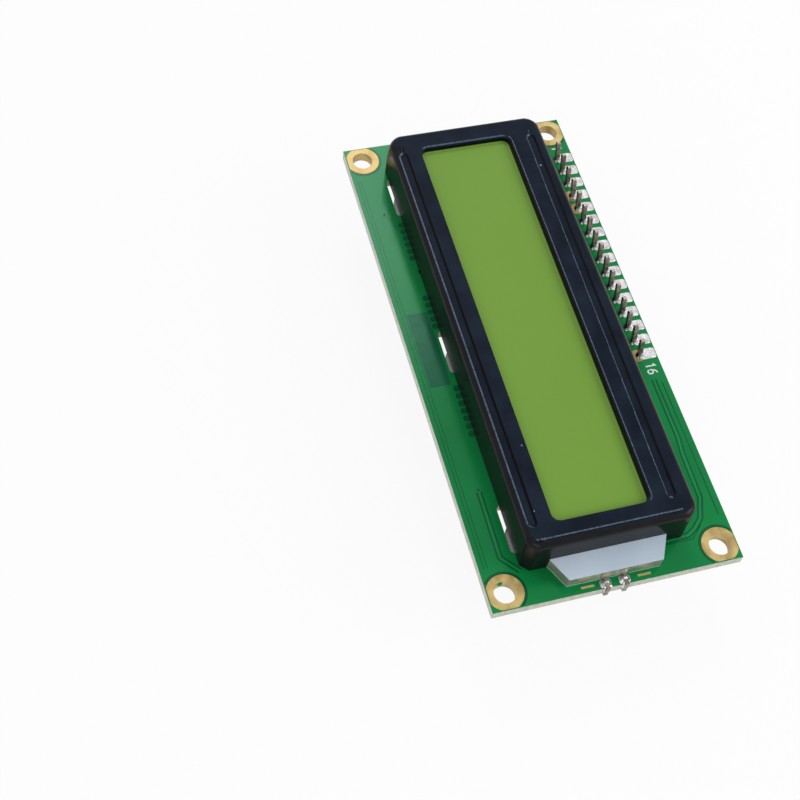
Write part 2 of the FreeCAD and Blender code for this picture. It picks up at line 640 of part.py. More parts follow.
def backlight():
    """Make the light guide, the sheets on both its faces, and the lamp with its leads."""
    guide_layer("guide_backing", "0", "backing", notched=False)
    guide_layer("light_guide", "backing", "guide_thick")
    guide_layer("guide_film", "backing + guide_thick", "film", notched=False)
    lamp = new_body("backlight_lamp")
    box(lamp, "lamp_case", (guide_end + " - lamp_depth", "guide_y - lamp_width / 2", "backing"),
        ("lamp_depth", "lamp_width", "lamp_height"))
    leads = new_body("lamp_leads")
    out = "(board_length / 2 + lead_overhang)"
    back = "(board_length / 2 - lead_return)"
    for name, sign in (("low", "-1"), ("high", "1")):
        side = "-(guide_y + %s * lead_spread / 2 + lead_width / 2)" % sign
        lead = new_sketch(leads, "lead_" + name, plane="XZ_Plane", height=side)
        outline(lead, [(guide_end, "lead_rise"), (guide_end, "lead_rise + lead_thick"),
                       (out + " + lead_thick", "lead_rise + lead_thick"),
                       (out + " + lead_thick", "-board_thick - lead_thick"),
                       (back, "-board_thick - lead_thick"), (back, "-board_thick"),
                       (out, "-board_thick"), (out, "lead_rise")])
        pad(leads, lead, "lead_width")
    lumps = new_body("lamp_solder_lumps", kept=False)
    front_room = "(board_length / 2 - %s - lump_fit)" % guide_end
    for name, sign in (("low", "-1"), ("high", "1")):
        side = "(guide_y + %s * lead_spread / 2)" % sign
        solder(lumps, "front_lump_" + name, ("(board_length / 2 - %s / 2)" % front_room, side, "0"),
               front_room, "lump_height")
        solder(lumps, "back_lump_" + name, ("(board_length / 2 - lump_width / 2)", side, "-board_thick"),
               "lump_width", "lump_height", downward=True)
    cut_by("lamp_solder", lumps, leads)


# Back of the board: potted driver chips, chip resistors, a bridged jumper
def driver_domes():
    """Make the two potted driver chips."""
    body = new_body("driver_domes")
    for name in ("one", "two"):
        radius = "dome_%s_radius" % name
        profile = new_sketch(body, "dome_profile_" + name, "XZ_Plane", "-dome_%s_y" % name)
        bind(profile, "AttachmentOffset.Base.x", "dome_%s_x" % name)
        bind(profile, "AttachmentOffset.Base.y", "-board_thick")
        outline(profile, [("0", "0"), (radius, "0"), (radius + " - dome_roll", "-dome_roll_height"),
                          (radius + " * 0.55", "-dome_height"), ("0", "-dome_height")])
        turned = body.newObject("PartDesign::Revolution", "dome_" + name)
        turned.Profile = profile
        turned.ReferenceAxis = (profile, ["V_Axis"])
        turned.Angle = 360


def bridge_solder():
    """Make the solder that bridges one round jumper."""
    body = new_body("bridge_solder")
    solder(body, "bridge", ("bridge_x", "bridge_y", "-board_thick"), "bridge_width", "bridge_height",
           downward=True)


def chip(core, caps, index, x, y, axis, surface, sign, height="chip_height"):
    """Add one chip part: a ceramic block in one body, its two wrapped ends in another."""
    if axis == "x":
        plane, along, side = "XZ_Plane", x, "-(%s + chip_width / 2)" % y
    else:
        plane, along, side = "YZ_Plane", y, "%s - chip_width / 2" % x
    foot = surface
    top = "%s + %s * %s" % (surface, sign, height)
    foot_in = "%s + %s * chip_wrap" % (surface, sign)
    top_in = "%s + %s * (%s - chip_wrap)" % (surface, sign, height)
    block = new_sketch(core, "%s_%d" % (core.Name, index), plane, side)
    rectangle(block, along + " - chip_length / 2 + chip_wrap",
              along + " + chip_length / 2 - chip_wrap", foot_in, top_in)
    pad(core, block, "chip_width")
    ends = new_sketch(caps, "%s_%d" % (caps.Name, index), plane, side)
    for end in ("-1", "1"):
        out = "%s + %s * chip_length / 2" % (along, end)
        skin = "%s + %s * (chip_length / 2 - chip_wrap)" % (along, end)
        inward = "%s + %s * (chip_length / 2 - chip_end)" % (along, end)
        outline(ends, [(out, foot), (inward, foot), (inward, foot_in), (skin, foot_in),
                       (skin, top_in), (inward, top_in), (inward, top), (out, top)])
    pad(caps, ends, "chip_width")


def board_resistors():
    """Make the chip resistors on the board's back: a column of four and two more."""
    core = new_body("board_resistors")
    caps = new_body("board_resistor_ends")
    places = [("column_x", "column_low + %d * column_step" % step) for step in range(4)]
    places += [("lone_x", "lone_y"), ("edge_x", "edge_y")]
    for index, (x, y) in enumerate(places):
        chip(core, caps, index, x, y, "x", "-board_thick", "-1")


# Daughter board and what stands on it
def daughter_board():
    """Make the black board with its pin holes."""
    body = new_body("daughter_board", leaning=True)
    plan = new_sketch(body, "daughter_outline", height=inner_face)
    rectangle(plan, "-row_end", "daughter_length - row_end", "-row_margin",
              "daughter_width - row_margin")
    pad(body, plan, "daughter_thick")
    holes = new_sketch(body, "daughter_holes", height=outer_face)
    for x, y in leg_places:
        octagon(holes, x, y, "leg_bore")
    pocket(body, holes, "daughter_thick")
    for name, x, y, axis, count in (("pin", "0", "0", "X_Axis", "pin_count"),
                                    ("serial", "serial_x", "serial_y", "Y_Axis", "serial_count"),
                                    ("jumper", "jumper_x", "jumper_y", "Y_Axis", "jumper_count")):
        hole = new_sketch(body, "daughter_%s_hole" % name, height=outer_face)
        octagon(hole, x, y, "pin_bore")
        repeat(body, [pocket(body, hole, "daughter_thick")], axis, count, "pitch")


def small_joints():
    """Make the solder on the daughter board's inner face, under each header pin and leg."""
    body = new_body("small_joints", leaning=True)
    low = "(%s - small_joint_height)" % inner_face
    for name, x, y, count in (("serial", "serial_x", "serial_y", "serial_count"),
                              ("jumper", "jumper_x", "jumper_y", "jumper_count")):
        rise = solder(body, name + "_rise", (x, y, inner_face), "small_joint_width",
                      "small_joint_height", downward=True)
        hole = square_post(body, name + "_hole", (x, y, low), "pin_side", "small_joint_height", cut=True)
        repeat(body, rise + [hole], "Y_Axis", count, "pitch")
    for index, (x, y) in enumerate(leg_places):
        solder(body, "leg_rise_%d" % index, (x, y, inner_face), "small_joint_width",
               "small_joint_height", downward=True)
        square_post(body, "leg_hole_%d" % index, (x, y, low), "leg_side", "small_joint_height", cut=True)


def trimmer():
    """Make the contrast trimmer: ribbed housing, slotted rotor in its bore, three legs."""
    housing = new_body("trimmer_housing", leaning=True)
    foot = "(%s + trimmer_stand)" % outer_face
    top = "(%s + trimmer_height)" % outer_face
    tall = "trimmer_height - trimmer_stand - trimmer_cap"
    half = "trimmer_width / 2"
    box(housing, "housing_core", ("trimmer_x - %s + trimmer_step" % half,
                                  "trimmer_y - %s + trimmer_step" % half, foot),
        ("trimmer_width - 2 * trimmer_step", "trimmer_width - 2 * trimmer_step", tall))
    box(housing, "housing_cap", ("trimmer_x - " + half, "trimmer_y - " + half, top + " - trimmer_cap"),
        ("trimmer_width", "trimmer_width", "trimmer_cap"))
    first = "((trimmer_rib_count - 1) * trimmer_rib_step / 2 + trimmer_rib / 2)"
    across = box(housing, "rib_across", ("trimmer_x - " + first, "trimmer_y - " + half, foot),
                 ("trimmer_rib", "trimmer_width", tall))
    repeat(housing, [across], "X_Axis", "trimmer_rib_count", "trimmer_rib_step")
    along = box(housing, "rib_along", ("trimmer_x - " + half, "trimmer_y - " + first, foot),
                ("trimmer_width", "trimmer_rib", tall))
    repeat(housing, [along], "Y_Axis", "trimmer_rib_count", "trimmer_rib_step")
    drum(housing, "rotor_bore", ("trimmer_x", "trimmer_y", top + " - rotor_recess - rotor_height"),
         "rotor_radius + rotor_gap", "rotor_recess + rotor_height", cut=True)
    square_post(housing, "housing_dimple", ("trimmer_x + trimmer_width / 2 - dimple_inset",
                                            "trimmer_y + dimple_shift", top + " - trimmer_dimple"),
                "trimmer_dimple", "trimmer_dimple", cut=True)

    rotor = new_body("trimmer_rotor", leaning=True)
    rotor_top = "(%s - rotor_recess)" % top
    drum(rotor, "rotor_drum", ("trimmer_x", "trimmer_y", rotor_top + " - rotor_height"),
         "rotor_radius", "rotor_height")
    cross = new_sketch(rotor, "cross_slot", height=rotor_top)
    long_arm = "cross_length / 2"
    short_arm = "cross_width / 2"
    corners = []
    for sx, sy, long_first in ((1, 1, True), (-1, 1, False), (-1, -1, True), (1, -1, False)):
        points = [(long_arm, short_arm), (short_arm, short_arm), (short_arm, long_arm)]
        for along_x, along_y in points if long_first else points[::-1]:
            corners.append(("trimmer_x + %d * %s" % (sx, along_x),
                            "trimmer_y + %d * %s" % (sy, along_y)))
    outline(cross, corners)
    pocket(rotor, cross, "cross_depth")

    legs = new_body("trimmer_legs", leaning=True)
    for index, (x, y) in enumerate(leg_places):
        square_post(legs, "leg_%d" % index, (x, y, inner_face + " - leg_through"), "leg_side",
                    "leg_through + daughter_thick + trimmer_stand")


def wide_chip():
    """Make the moulded sixteen-lead chip with drafted sides and its gull-wing leads."""
    case = new_body("expander_body", leaning=True)
    parting = "(%s + wide_stand + wide_lower)" % outer_face
    for name, height, downward in (("upper", "wide_upper", False), ("lower", "wide_lower", True)):
        plan = new_sketch(case, "case_" + name, height=parting)
        rectangle(plan, "wide_x - wide_body_width / 2", "wide_x + wide_body_width / 2",
                  "wide_y - wide_body_length / 2", "wide_y + wide_body_length / 2")
        half = pad(case, plan, height, downward)
        bind(half, "TaperAngle", "-wide_draft")
    mark_top = "(%s + wide_upper)" % parting
    drum(case, "corner_mark", ("wide_x - wide_body_width / 2 + mark_inset",
                               "wide_y - wide_body_length / 2 + mark_inset", mark_top + " - mark_depth"),
         "mark_bore / 2", "mark_depth", cut=True)

    leads = new_body("expander_leads", leaning=True)
    first_y = "(wide_y - (side_count - 1) * lead_pitch / 2)"
    for name, sign in (("left", "-1"), ("right", "1")):
        root = "wide_x + %s * wide_body_width / 2" % sign
        knee = "wide_x + %s * (wide_body_width / 2 + shoulder)" % sign
        heel = "wide_x + %s * (foot_span / 2 - foot_length)" % sign
        toe = "wide_x + %s * foot_span / 2" % sign
        upper = parting + " + foot_thick / 2"
        under = parting + " - foot_thick / 2"
        profile = new_sketch(leads, "lead_profile_" + name, "XZ_Plane",
                             "-(%s + foot_width / 2)" % first_y)
        outline(profile, [(root, under), (root, upper), (knee, upper),
                          (heel + " + %s * foot_thick / 2" % sign, outer_face + " + foot_thick"),
                          (toe, outer_face + " + foot_thick"), (toe, outer_face),
                          (heel, outer_face), (knee + " - %s * foot_thick / 2" % sign, under)])
        repeat(leads, [pad(leads, profile, "foot_width")], "Y_Axis", "side_count", "lead_pitch")


def bent_header(name, x, y, count, reach, sign):
    """Make a right-angle header: cut-cornered bays and pins bent over toward one end."""
    block = new_body(name + "_block", leaning=True)
    bay = new_sketch(block, name + "_bay", height=outer_face)
    octagon(bay, x, y, "block_side", "block_cut")
    rectangle(bay, x + " - pin_side / 2", x + " + pin_side / 2", y + " - pin_side / 2",
              y + " + pin_side / 2")
    repeat(block, [pad(block, bay, "block_side")], "Y_Axis", count, "pitch")

    pins = new_body(name + "_pins", leaning=True)
    bottom = inner_face + " - leg_through"
    middle = "(%s + bend_height)" % outer_face
    outer = "%s - %d * pin_side / 2" % (x, sign)
    inner = "%s + %d * pin_side / 2" % (x, sign)
    tip = "%s + %d * %s" % (x, sign, reach)
    profile = new_sketch(pins, name + "_bend", "XZ_Plane", "-(%s + pin_side / 2)" % y)
    outline(profile, [(outer, bottom), (inner, bottom), (inner, middle + " - pin_side / 2"),
                      (tip, middle + " - pin_side / 2"), (tip, middle + " + pin_side / 2"),
                      (outer, middle + " + pin_side / 2")])
    pin = pad(pins, profile, "pin_side")
    top = value(middle) + value("pin_side") / 2
    side = value(outer)
    bend = dress(pins, "Fillet", "Radius", "bend_round",
                 lambda edge: parallel_to(edge, "y") and abs(edge.BoundBox.ZMax - top) < 1e-3
                 and abs(edge.BoundBox.XMax - side) < 1e-3)
    repeat(pins, [pin, bend], "Y_Axis", count, "pitch")


def jumper_cap():
    """Make the slip-on cap: two sockets, a split front step, and the spring clip inside."""
    cap = new_body("jumper_cap", leaning=True)
    level = "(%s + bend_height)" % outer_face
    start = "(jumper_x + cap_gap)"
    front = "(%s + cap_length)" % start
    middle_y = "(jumper_y + pitch / 2)"
    low = "(%s - cap_height / 2)" % level
    high = "(%s + cap_height / 2)" % level
    side = new_sketch(cap, "cap_side", "XZ_Plane", "-(%s + cap_width / 2)" % middle_y)
    outline(side, [(start, low), (front, low), (front, high + " - cap_step"),
                   (front + " - cap_step_length", high + " - cap_step"),
                   (front + " - cap_step_length", high), (start, high)])
    pad(cap, side, "cap_width")
    for index in range(2):
        y = "(jumper_y + %d * pitch)" % index
        box(cap, "socket_%d" % index,
            (start, y + " - socket_width / 2", level + " - pin_side / 2 - clip_gap"),
            ("cap_length", "socket_width", "socket_height"), cut=True)
    split = new_sketch(cap, "cap_split", height=high)
    rectangle(split, front + " - cap_split_length + cap_split / 2", front + " + cap_step",
              middle_y + " - cap_split / 2", middle_y + " + cap_split / 2")
    pocket(cap, split, "cap_height")
    arch = ("%s - cap_split_length + cap_split / 2" % front, middle_y, low)
    drum(cap, "split_arch", arch, "cap_split / 2", "cap_height", cut=True)
    clip_low = "(%s + pin_side / 2 + clip_gap)" % level
    clip_place = (start + " + clip_inset", "jumper_y - socket_width / 2", clip_low)
    clip_size = ("clip_length", "pitch + socket_width", "clip_thick")
    box(cap, "clip_room", clip_place, clip_size, cut=True)
    clip = new_body("jumper_clip", leaning=True)
    box(clip, "clip_strip", clip_place, clip_size)


def daughter_chips():
    """Make the daughter board's chip resistors, its capacitor and its power lamp."""
    core = new_body("chip_resistors", leaning=True)
    caps = new_body("chip_resistor_ends", leaning=True)
    upright = [("line_one_x", "far_y"), ("line_two_x", "near_y"), ("line_two_x", "far_y"),
               ("line_three_x", "far_y")]
    for index, (x, y) in enumerate(upright):
        chip(core, caps, index, x, y, "y", outer_face, "1")
    for step in range(3):
        x = "far_row_x + %d * far_row_step" % step
        chip(core, caps, len(upright) + step, x, "far_row_y", "x", outer_face, "1")
    capacitor = new_body("chip_capacitor", leaning=True)
    ends = new_body("capacitor_ends", leaning=True)
    chip(capacitor, ends, 0, "line_one_x", "near_y", "y", outer_face, "1", "capacitor_height")
    led = new_body("power_lamp", leaning=True)
    box(led, "led_plate", ("led_x - led_width / 2", "far_y - led_length / 2", outer_face),
        ("led_width", "led_length", "led_base"))
    lens = new_sketch(led, "led_lens_plan", height=outer_face + " + led_base")
    rectangle(lens, "led_x - led_width / 2", "led_x + led_width / 2",
              "far_y - led_lens_length / 2", "far_y + led_lens_length / 2")
    bind(pad(led, lens, "led_lens"), "TaperAngle", "-led_draft")


main_board()
hole_rings()
header_spacer()
front_joints(header_pins())
rear_joints()
bezel()
display_cell()
backlight()
driver_domes()
bridge_solder()
board_resistors()
daughter_board()
small_joints()
trimmer()
wide_chip()
bent_header("serial", "serial_x", "serial_y", "serial_count", "serial_reach", -1)
bent_header("jumper", "jumper_x", "jumper_y", "jumper_count", "jumper_reach", 1)
jumper_cap()
daughter_chips()

# Every object must have come out whole before anything is written
doc.recompute()
failed = [thing.Label for thing in doc.Objects if {"Invalid", "Error"} & set(thing.State)]
failed += [node.Label for node in nodes if node.Shape.isNull() or not node.Shape.isValid()]
if failed:
    raise RuntimeError("not built: " + ", ".join(failed))
for node in nodes:
    node.Shape.exportStep("parts/%s.step" % node.Label)
    print("%-22s %3d solids %10.3f mm3" % (node.Label, len(node.Shape.Solids), node.Shape.Volume))
print("nodes:", len(nodes))
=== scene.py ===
# %% [markdown]
# # A character display module
# A stamped black frame clamps a liquid crystal panel to a green board. Behind the board, on the same
# sixteen leaning pins, sits a small black board with a trimmer, a chip and two bent headers.
# The CAD model gives every place and size. This file adds what it leaves plain: solder, resin,
# pressed edges, copper under the mask, white print and the finish of each surface.

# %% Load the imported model
import math
import bmesh
import bpy
import numpy as np
from mathutils import Matrix, Vector


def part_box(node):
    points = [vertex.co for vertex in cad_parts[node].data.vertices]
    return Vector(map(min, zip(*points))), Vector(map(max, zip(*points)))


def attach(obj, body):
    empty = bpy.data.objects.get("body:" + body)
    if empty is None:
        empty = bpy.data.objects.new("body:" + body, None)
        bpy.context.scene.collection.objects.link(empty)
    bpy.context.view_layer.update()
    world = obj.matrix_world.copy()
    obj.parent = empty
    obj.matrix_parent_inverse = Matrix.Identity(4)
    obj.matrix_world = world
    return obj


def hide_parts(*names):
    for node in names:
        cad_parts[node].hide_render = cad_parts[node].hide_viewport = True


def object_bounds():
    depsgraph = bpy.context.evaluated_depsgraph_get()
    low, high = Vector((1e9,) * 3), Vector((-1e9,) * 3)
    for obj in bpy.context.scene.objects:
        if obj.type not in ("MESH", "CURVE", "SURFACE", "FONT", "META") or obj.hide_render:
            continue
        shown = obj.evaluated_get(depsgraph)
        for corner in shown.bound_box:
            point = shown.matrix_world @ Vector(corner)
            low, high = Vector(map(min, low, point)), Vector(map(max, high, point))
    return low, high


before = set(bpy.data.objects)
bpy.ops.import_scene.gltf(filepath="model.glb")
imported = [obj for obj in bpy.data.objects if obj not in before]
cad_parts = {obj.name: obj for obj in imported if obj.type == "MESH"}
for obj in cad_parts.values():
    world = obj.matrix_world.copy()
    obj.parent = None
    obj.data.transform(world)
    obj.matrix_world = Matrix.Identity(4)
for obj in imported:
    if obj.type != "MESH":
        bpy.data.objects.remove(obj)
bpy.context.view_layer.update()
MM = 0.001
print("sub-parts:", len(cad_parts))

# %% [markdown]
# ## The camera
# The view looks down on the display from the lamp's end. The lens is 62 mm on a 36 mm sensor, and
# three unit vectors say which way the picture's right, its top and the camera's back point.

# %% Camera
camera_data = bpy.data.cameras.new("view_camera")
camera_data.sensor_width = 36.0
camera_data.lens = 62.02
camera_data.clip_start = 0.01
camera = bpy.data.objects.new("view_camera", camera_data)
bpy.context.scene.collection.objects.link(camera)
right = Vector((0.26340, 0.96049, 0.08993)).normalized()
back = Vector((0.47517, -0.21030, 0.85439)).normalized()
up = back.cross(right).normalized()
turn = Matrix((right, up, back)).transposed().to_4x4()
camera.matrix_world = Matrix.Translation(Vector((98.774, -62.325, 166.735)) * MM) @ turn
bpy.context.scene.camera = camera
bpy.context.scene.view_settings.view_transform = "Standard"
print("camera at", [round(value, 4) for value in camera.location])

# %% [markdown]
# ## Places taken from the frame
# Boxes of the CAD nodes give the heights that the loose details stand on, so nothing is typed twice.


# %% Boxes of the nodes, in millimetres
def corners_of(node):
    """Return a node's lowest and highest corner in millimetres."""
    low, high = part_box(node)
    return np.array(low) / MM, np.array(high) / MM


board_low, board_high = corners_of("main_board")
bezel_low, bezel_high = corners_of("bezel")
pins_low, _ = corners_of("header_pins")
HALF_WIDTH = board_high[1]
BACK_Z = board_low[2]
MID_Z = BACK_Z / 2
PITCH = 2.54
PIN_COUNT = 16
PIN_SIDE = 0.64
PIN_ONE_X = pins_low[0] + PIN_SIDE / 2
PIN_X = PIN_ONE_X + PITCH * np.arange(PIN_COUNT)
ROW_Y = HALF_WIDTH - 2.5
LEAN = math.radians(8.0)
# The small board's two faces, counted along the pins from the middle of the main board
INNER_Z = 3.5235
OUTER_Z = INNER_Z + 1.6
print("board", board_low.round(2), board_high.round(2), "first pin at x", round(PIN_ONE_X, 3))


def leaning(parts):
    """Turn parts of the small board's frame into the row's frame.

    Local x runs along the pins from the first one, y away from the row and z outward. World y is the
    row's y minus y cos(lean) plus z sin(lean), and world z is the main board's middle minus
    y sin(lean) minus z cos(lean).
    """
    turned = []
    for points, quads, triangles in parts:
        x, y, z = points.T
        places = np.column_stack([PIN_ONE_X + x, ROW_Y - math.cos(LEAN) * y + math.sin(LEAN) * z,
                                  MID_Z - math.sin(LEAN) * y - math.cos(LEAN) * z])
        turned.append((places, quads, triangles))
    return turned


# %% [markdown]
# ## Building meshes from stacked rings
# Nearly every extra piece is a stack of closed rings: a solder lump narrows from its foot to the pin,
# a resin dome shrinks to a point, a printed line is a small four-cornered ring carried along a path.
# So one function numbers the faces of such a stack, and another puts many stacks in one object.


# %% Rings to faces, parts to an object
def stack(rings, loop=False):
    """Number the faces of rings (rows, around, 3).

    Face (r, a) joins points (r, a), (r, a + 1), (r + 1, a + 1) and (r + 1, a), with a counted round the
    ring. With loop the last row meets the first. Otherwise a fan of triangles to the mean point of each
    end ring closes it.
    """
    rows, around, _ = rings.shape
    number = np.arange(rows * around).reshape(rows, around)
    lower = number if loop else number[:-1]
    upper = np.roll(number, -1, axis=0) if loop else number[1:]
    quads = np.stack([lower, np.roll(lower, -1, axis=1), np.roll(upper, -1, axis=1), upper], axis=-1)
    points = rings.reshape(-1, 3)
    if loop:
        return points, quads.reshape(-1, 4), np.zeros((0, 3), int)
    middles = np.stack([rings[0].mean(axis=0), rings[-1].mean(axis=0)])
    fans = [np.stack([np.roll(ring, -1), ring, np.full(around, rows * around + end)], axis=-1)
            for end, ring in enumerate((number[0], number[-1][::-1]))]
    return np.vstack([points, middles]), quads.reshape(-1, 4), np.vstack(fans)


def lifted(loop, height):
    """Add a height, a number or one for each point, to a flat loop."""
    return np.column_stack([loop, np.broadcast_to(height, len(loop))])


def sideways(path, closed=False):
    """Return for each point of a flat path the vector one millimetre across it.

    It lies across the mean of the two neighbouring directions, and its length is one over the cosine
    of half the turn, so that a strip keeps its width in a bend.
    """
    if closed:
        before, after = np.roll(path, 1, axis=0), np.roll(path, -1, axis=0)
    else:
        before = np.vstack([2 * path[0] - path[1], path[:-1]])
        after = np.vstack([path[1:], 2 * path[-1] - path[-2]])
    into = (path - before) / np.linalg.norm(path - before, axis=1, keepdims=True)
    out = (after - path) / np.linalg.norm(after - path, axis=1, keepdims=True)
    mean = (into + out) / np.linalg.norm(into + out, axis=1, keepdims=True)
    widen = 1.0 / np.maximum((mean * into).sum(axis=1, keepdims=True), 0.4)
    return np.stack([-mean[:, 1], mean[:, 0]], axis=-1) * widen


def strip(path, width, low, high, closed=False):
    """Carry a four-cornered section along a flat path, between two heights."""
    path = np.asarray(path, float)
    across = sideways(path, closed) * width / 2
    corners = [lifted(path + across, low), lifted(path - across, low),
               lifted(path - across, high), lifted(path + across, high)]
    return stack(np.stack(corners, axis=1), loop=closed)


# Edges that turn by less than this, in degrees, are shaded as one surface on solder and resin
SOFT = 80.0


def make_piece(name, parts, material, body="module", replaces=(), crease=35.0):
    """Put parts, each (points in millimetres, quads, triangles), in one object that rides on a body."""
    starts = np.cumsum([0] + [len(part[0]) for part in parts])
    points = np.vstack([part[0] for part in parts]) * MM
    quads = np.vstack([start + part[1] for start, part in zip(starts, parts)])
    triangles = np.vstack([start + part[2] for start, part in zip(starts, parts)])
    mesh = bpy.data.meshes.new(name)
    mesh.from_pydata(points.tolist(), [], quads.tolist() + triangles.tolist())
    work = bmesh.new()
    work.from_mesh(mesh)
    bmesh.ops.remove_doubles(work, verts=work.verts, dist=1e-7)
    bmesh.ops.dissolve_degenerate(work, edges=work.edges, dist=1e-8)
    bmesh.ops.recalc_face_normals(work, faces=work.faces)
    work.to_mesh(mesh)
    work.free()
    mesh.shade_smooth()
    mesh.set_sharp_from_angle(angle=math.radians(crease))
    mesh.materials.append(material)
    made = bpy.data.objects.new(name, mesh)
    bpy.context.scene.collection.objects.link(made)
    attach(made, body)
    if replaces:
        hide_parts(*replaces)
    print(name, "faces:", len(mesh.polygons))
    return made


# %% [markdown]
# ## Finishes
# Most surfaces here are one colour that wanders a little, with a roughness and a fine relief that
# follow the same kind of noise. `finish` makes that family. Positions come from Object coordinates,
# which are metres, so a noise scale of 1000 gives grains of about a millimetre.


# %% The family of finishes
WHITE, BLACK = (1.0, 1.0, 1.0, 1.0), (0.0, 0.0, 0.0, 1.0)


def srgb(red, green, blue):
    """Turn a colour read from 0 to 255 into the linear values that a shader takes.

    Each channel c is c / 12.92 below 0.04045 and ((c + 0.055) / 1.055) to the power 2.4 above it.
    """
    channels = np.array([red, green, blue]) / 255.0
    linear = np.where(channels <= 0.04045, channels / 12.92, ((channels + 0.055) / 1.055) ** 2.4)
    return (*linear.tolist(), 1.0)


def feed(tree, node, inputs):
    """Link each input of a node, by name or number, to a socket, or set it to a fixed value."""
    for key, source in inputs.items():
        if isinstance(source, bpy.types.NodeSocket):
            tree.links.new(source, node.inputs[key])
        else:
            node.inputs[key].default_value = source


def add_node(tree, kind, inputs, **settings):
    """Add a shader node with its settings, feed its inputs and return it."""
    node = tree.nodes.new("ShaderNode" + kind)
    for setting, value in settings.items():
        setattr(node, setting, value)
    feed(tree, node, inputs)
    return node


def calculated(tree, operation, *values):
    """Return the result of a math node on sockets or numbers."""
    return add_node(tree, "Math", dict(enumerate(values)), operation=operation).outputs[0]


def mixed(tree, share, first, second):
    """Return the colour that goes from the first to the second as share goes from 0 to 1."""
    inputs = {"Factor": share, "A": first, "B": second}
    return add_node(tree, "Mix", inputs, data_type="RGBA").outputs["Result"]


def noise(tree, scale, detail=3.0):
    """Return the value of a noise on Object coordinates."""
    place = add_node(tree, "TexCoord", {}).outputs["Object"]
    return add_node(tree, "TexNoise", {"Vector": place, "Scale": scale, "Detail": detail}).outputs["Fac"]


def ramp(tree, source, *stops):
    """Send a value through a colour ramp with two stops, each (position, colour)."""
    node = add_node(tree, "ValToRGB", {"Fac": source})
    for element, (position, color) in zip(node.color_ramp.elements, stops):
        element.position = position
        element.color = color
    return node.outputs["Color"]


def spread(tree, source, low, high):
    """Map a value between 0.3 and 0.7, where noise mostly lies, to low and high."""
    inputs = {"Value": source, "From Min": 0.3, "From Max": 0.7, "To Min": low, "To Max": high}
    return add_node(tree, "MapRange", inputs).outputs["Result"]


def shader_of(material):
    """Return the material's Principled shader."""
    return next(node for node in material.node_tree.nodes if node.type == "BSDF_PRINCIPLED")


def base_of(material):
    """Return the socket that feeds the material's base colour."""
    return shader_of(material).inputs["Base Color"].links[0].from_socket


def finish(name, dark, light, roughness, scale, relief=0.0, relief_scale=0.0, **sockets):
    """Make a finish: colour and roughness wander with one noise, a finer noise gives the relief.

    dark and light are colours from 0 to 255, roughness is (lowest, highest), relief a height in
    millimetres, and sockets are constants of the Principled shader, with spaces as underscores.
    """
    material = bpy.data.materials.new(name)
    material.use_nodes = True
    tree = material.node_tree
    wander = noise(tree, scale)
    inputs = {"Base Color": ramp(tree, wander, (0.35, srgb(*dark)), (0.65, srgb(*light))),
              "Roughness": spread(tree, wander, *roughness)}
    if relief:
        height = noise(tree, relief_scale)
        bump = add_node(tree, "Bump", {"Strength": 1.0, "Distance": relief * MM, "Height": height})
        inputs["Normal"] = bump.outputs["Normal"]
    inputs.update({socket.replace("_", " "): value for socket, value in sockets.items()})
    feed(tree, shader_of(material), inputs)
    return material


# %% Plain members of the family
solder_finish = finish("solder", (158, 156, 156), (226, 224, 226), (0.14, 0.32), 900.0, 0.02, 1500.0,
                       Metallic=0.85)
flat_solder = finish("flat_solder", (194, 190, 194), (238, 235, 238), (0.28, 0.45), 1300.0, 0.015, 2600.0,
                     Metallic=0.45)
tinned_finish = finish("tinned", (92, 85, 76), (164, 156, 142), (0.28, 0.45), 1500.0, 0.01, 3000.0,
                       Metallic=0.9)
gold_finish = finish("gold_plate", (158, 132, 74), (204, 180, 118), (0.3, 0.45), 450.0, 0.008, 5000.0,
                     Metallic=0.45)
pad_finish = finish("gold_pad", (205, 184, 126), (232, 214, 160), (0.35, 0.5), 500.0, 0.006, 6000.0,
                    Metallic=0.35)
print_finish = finish("white_print", (222, 228, 226), (244, 247, 246), (0.45, 0.6), 2500.0, 0.006, 6000.0)
resin_finish = finish("black_resin", (26, 26, 31), (44, 44, 50), (0.36, 0.5), 350.0, 0.035, 2600.0,
                      Specular_IOR_Level=0.4)
moulded_finish = finish("black_moulding", (22, 23, 26), (36, 38, 42), (0.42, 0.6), 900.0, 0.01, 5000.0,
                        Specular_IOR_Level=0.3)
ceramic_finish = finish("black_ceramic", (22, 20, 22), (38, 35, 38), (0.22, 0.34), 1500.0,
                        Specular_IOR_Level=0.4)
capacitor_finish = finish("brown_ceramic", (124, 86, 52), (160, 118, 78), (0.35, 0.5), 1800.0)
trimmer_finish = finish("blue_moulding", (32, 78, 182), (62, 112, 208), (0.34, 0.5), 500.0, 0.012, 3500.0,
                        Specular_IOR_Level=0.35)
tick_finish = finish("tick_moulding", (14, 34, 96), (20, 44, 112), (0.4, 0.5), 900.0)
rotor_finish = finish("grey_moulding", (150, 150, 146), (206, 205, 198), (0.3, 0.5), 1600.0, 0.02, 3000.0)
rubber_finish = finish("pink_rubber", (206, 112, 158), (222, 132, 174), (0.6, 0.8), 900.0)
sheet_finish = finish("white_sheet", (196, 212, 228), (204, 219, 234), (0.3, 0.42), 180.0, 0.004, 4000.0,
                      Specular_IOR_Level=0.3)
lamp_finish = finish("lamp_moulding", (128, 132, 108), (166, 168, 146), (0.15, 0.3), 900.0)
glow_finish = finish("power_lamp", (206, 222, 212), (236, 240, 234), (0.3, 0.4), 900.0)
spring_finish = finish("spring_strip", (160, 150, 120), (205, 196, 165), (0.2, 0.35), 1200.0, Metallic=1.0)

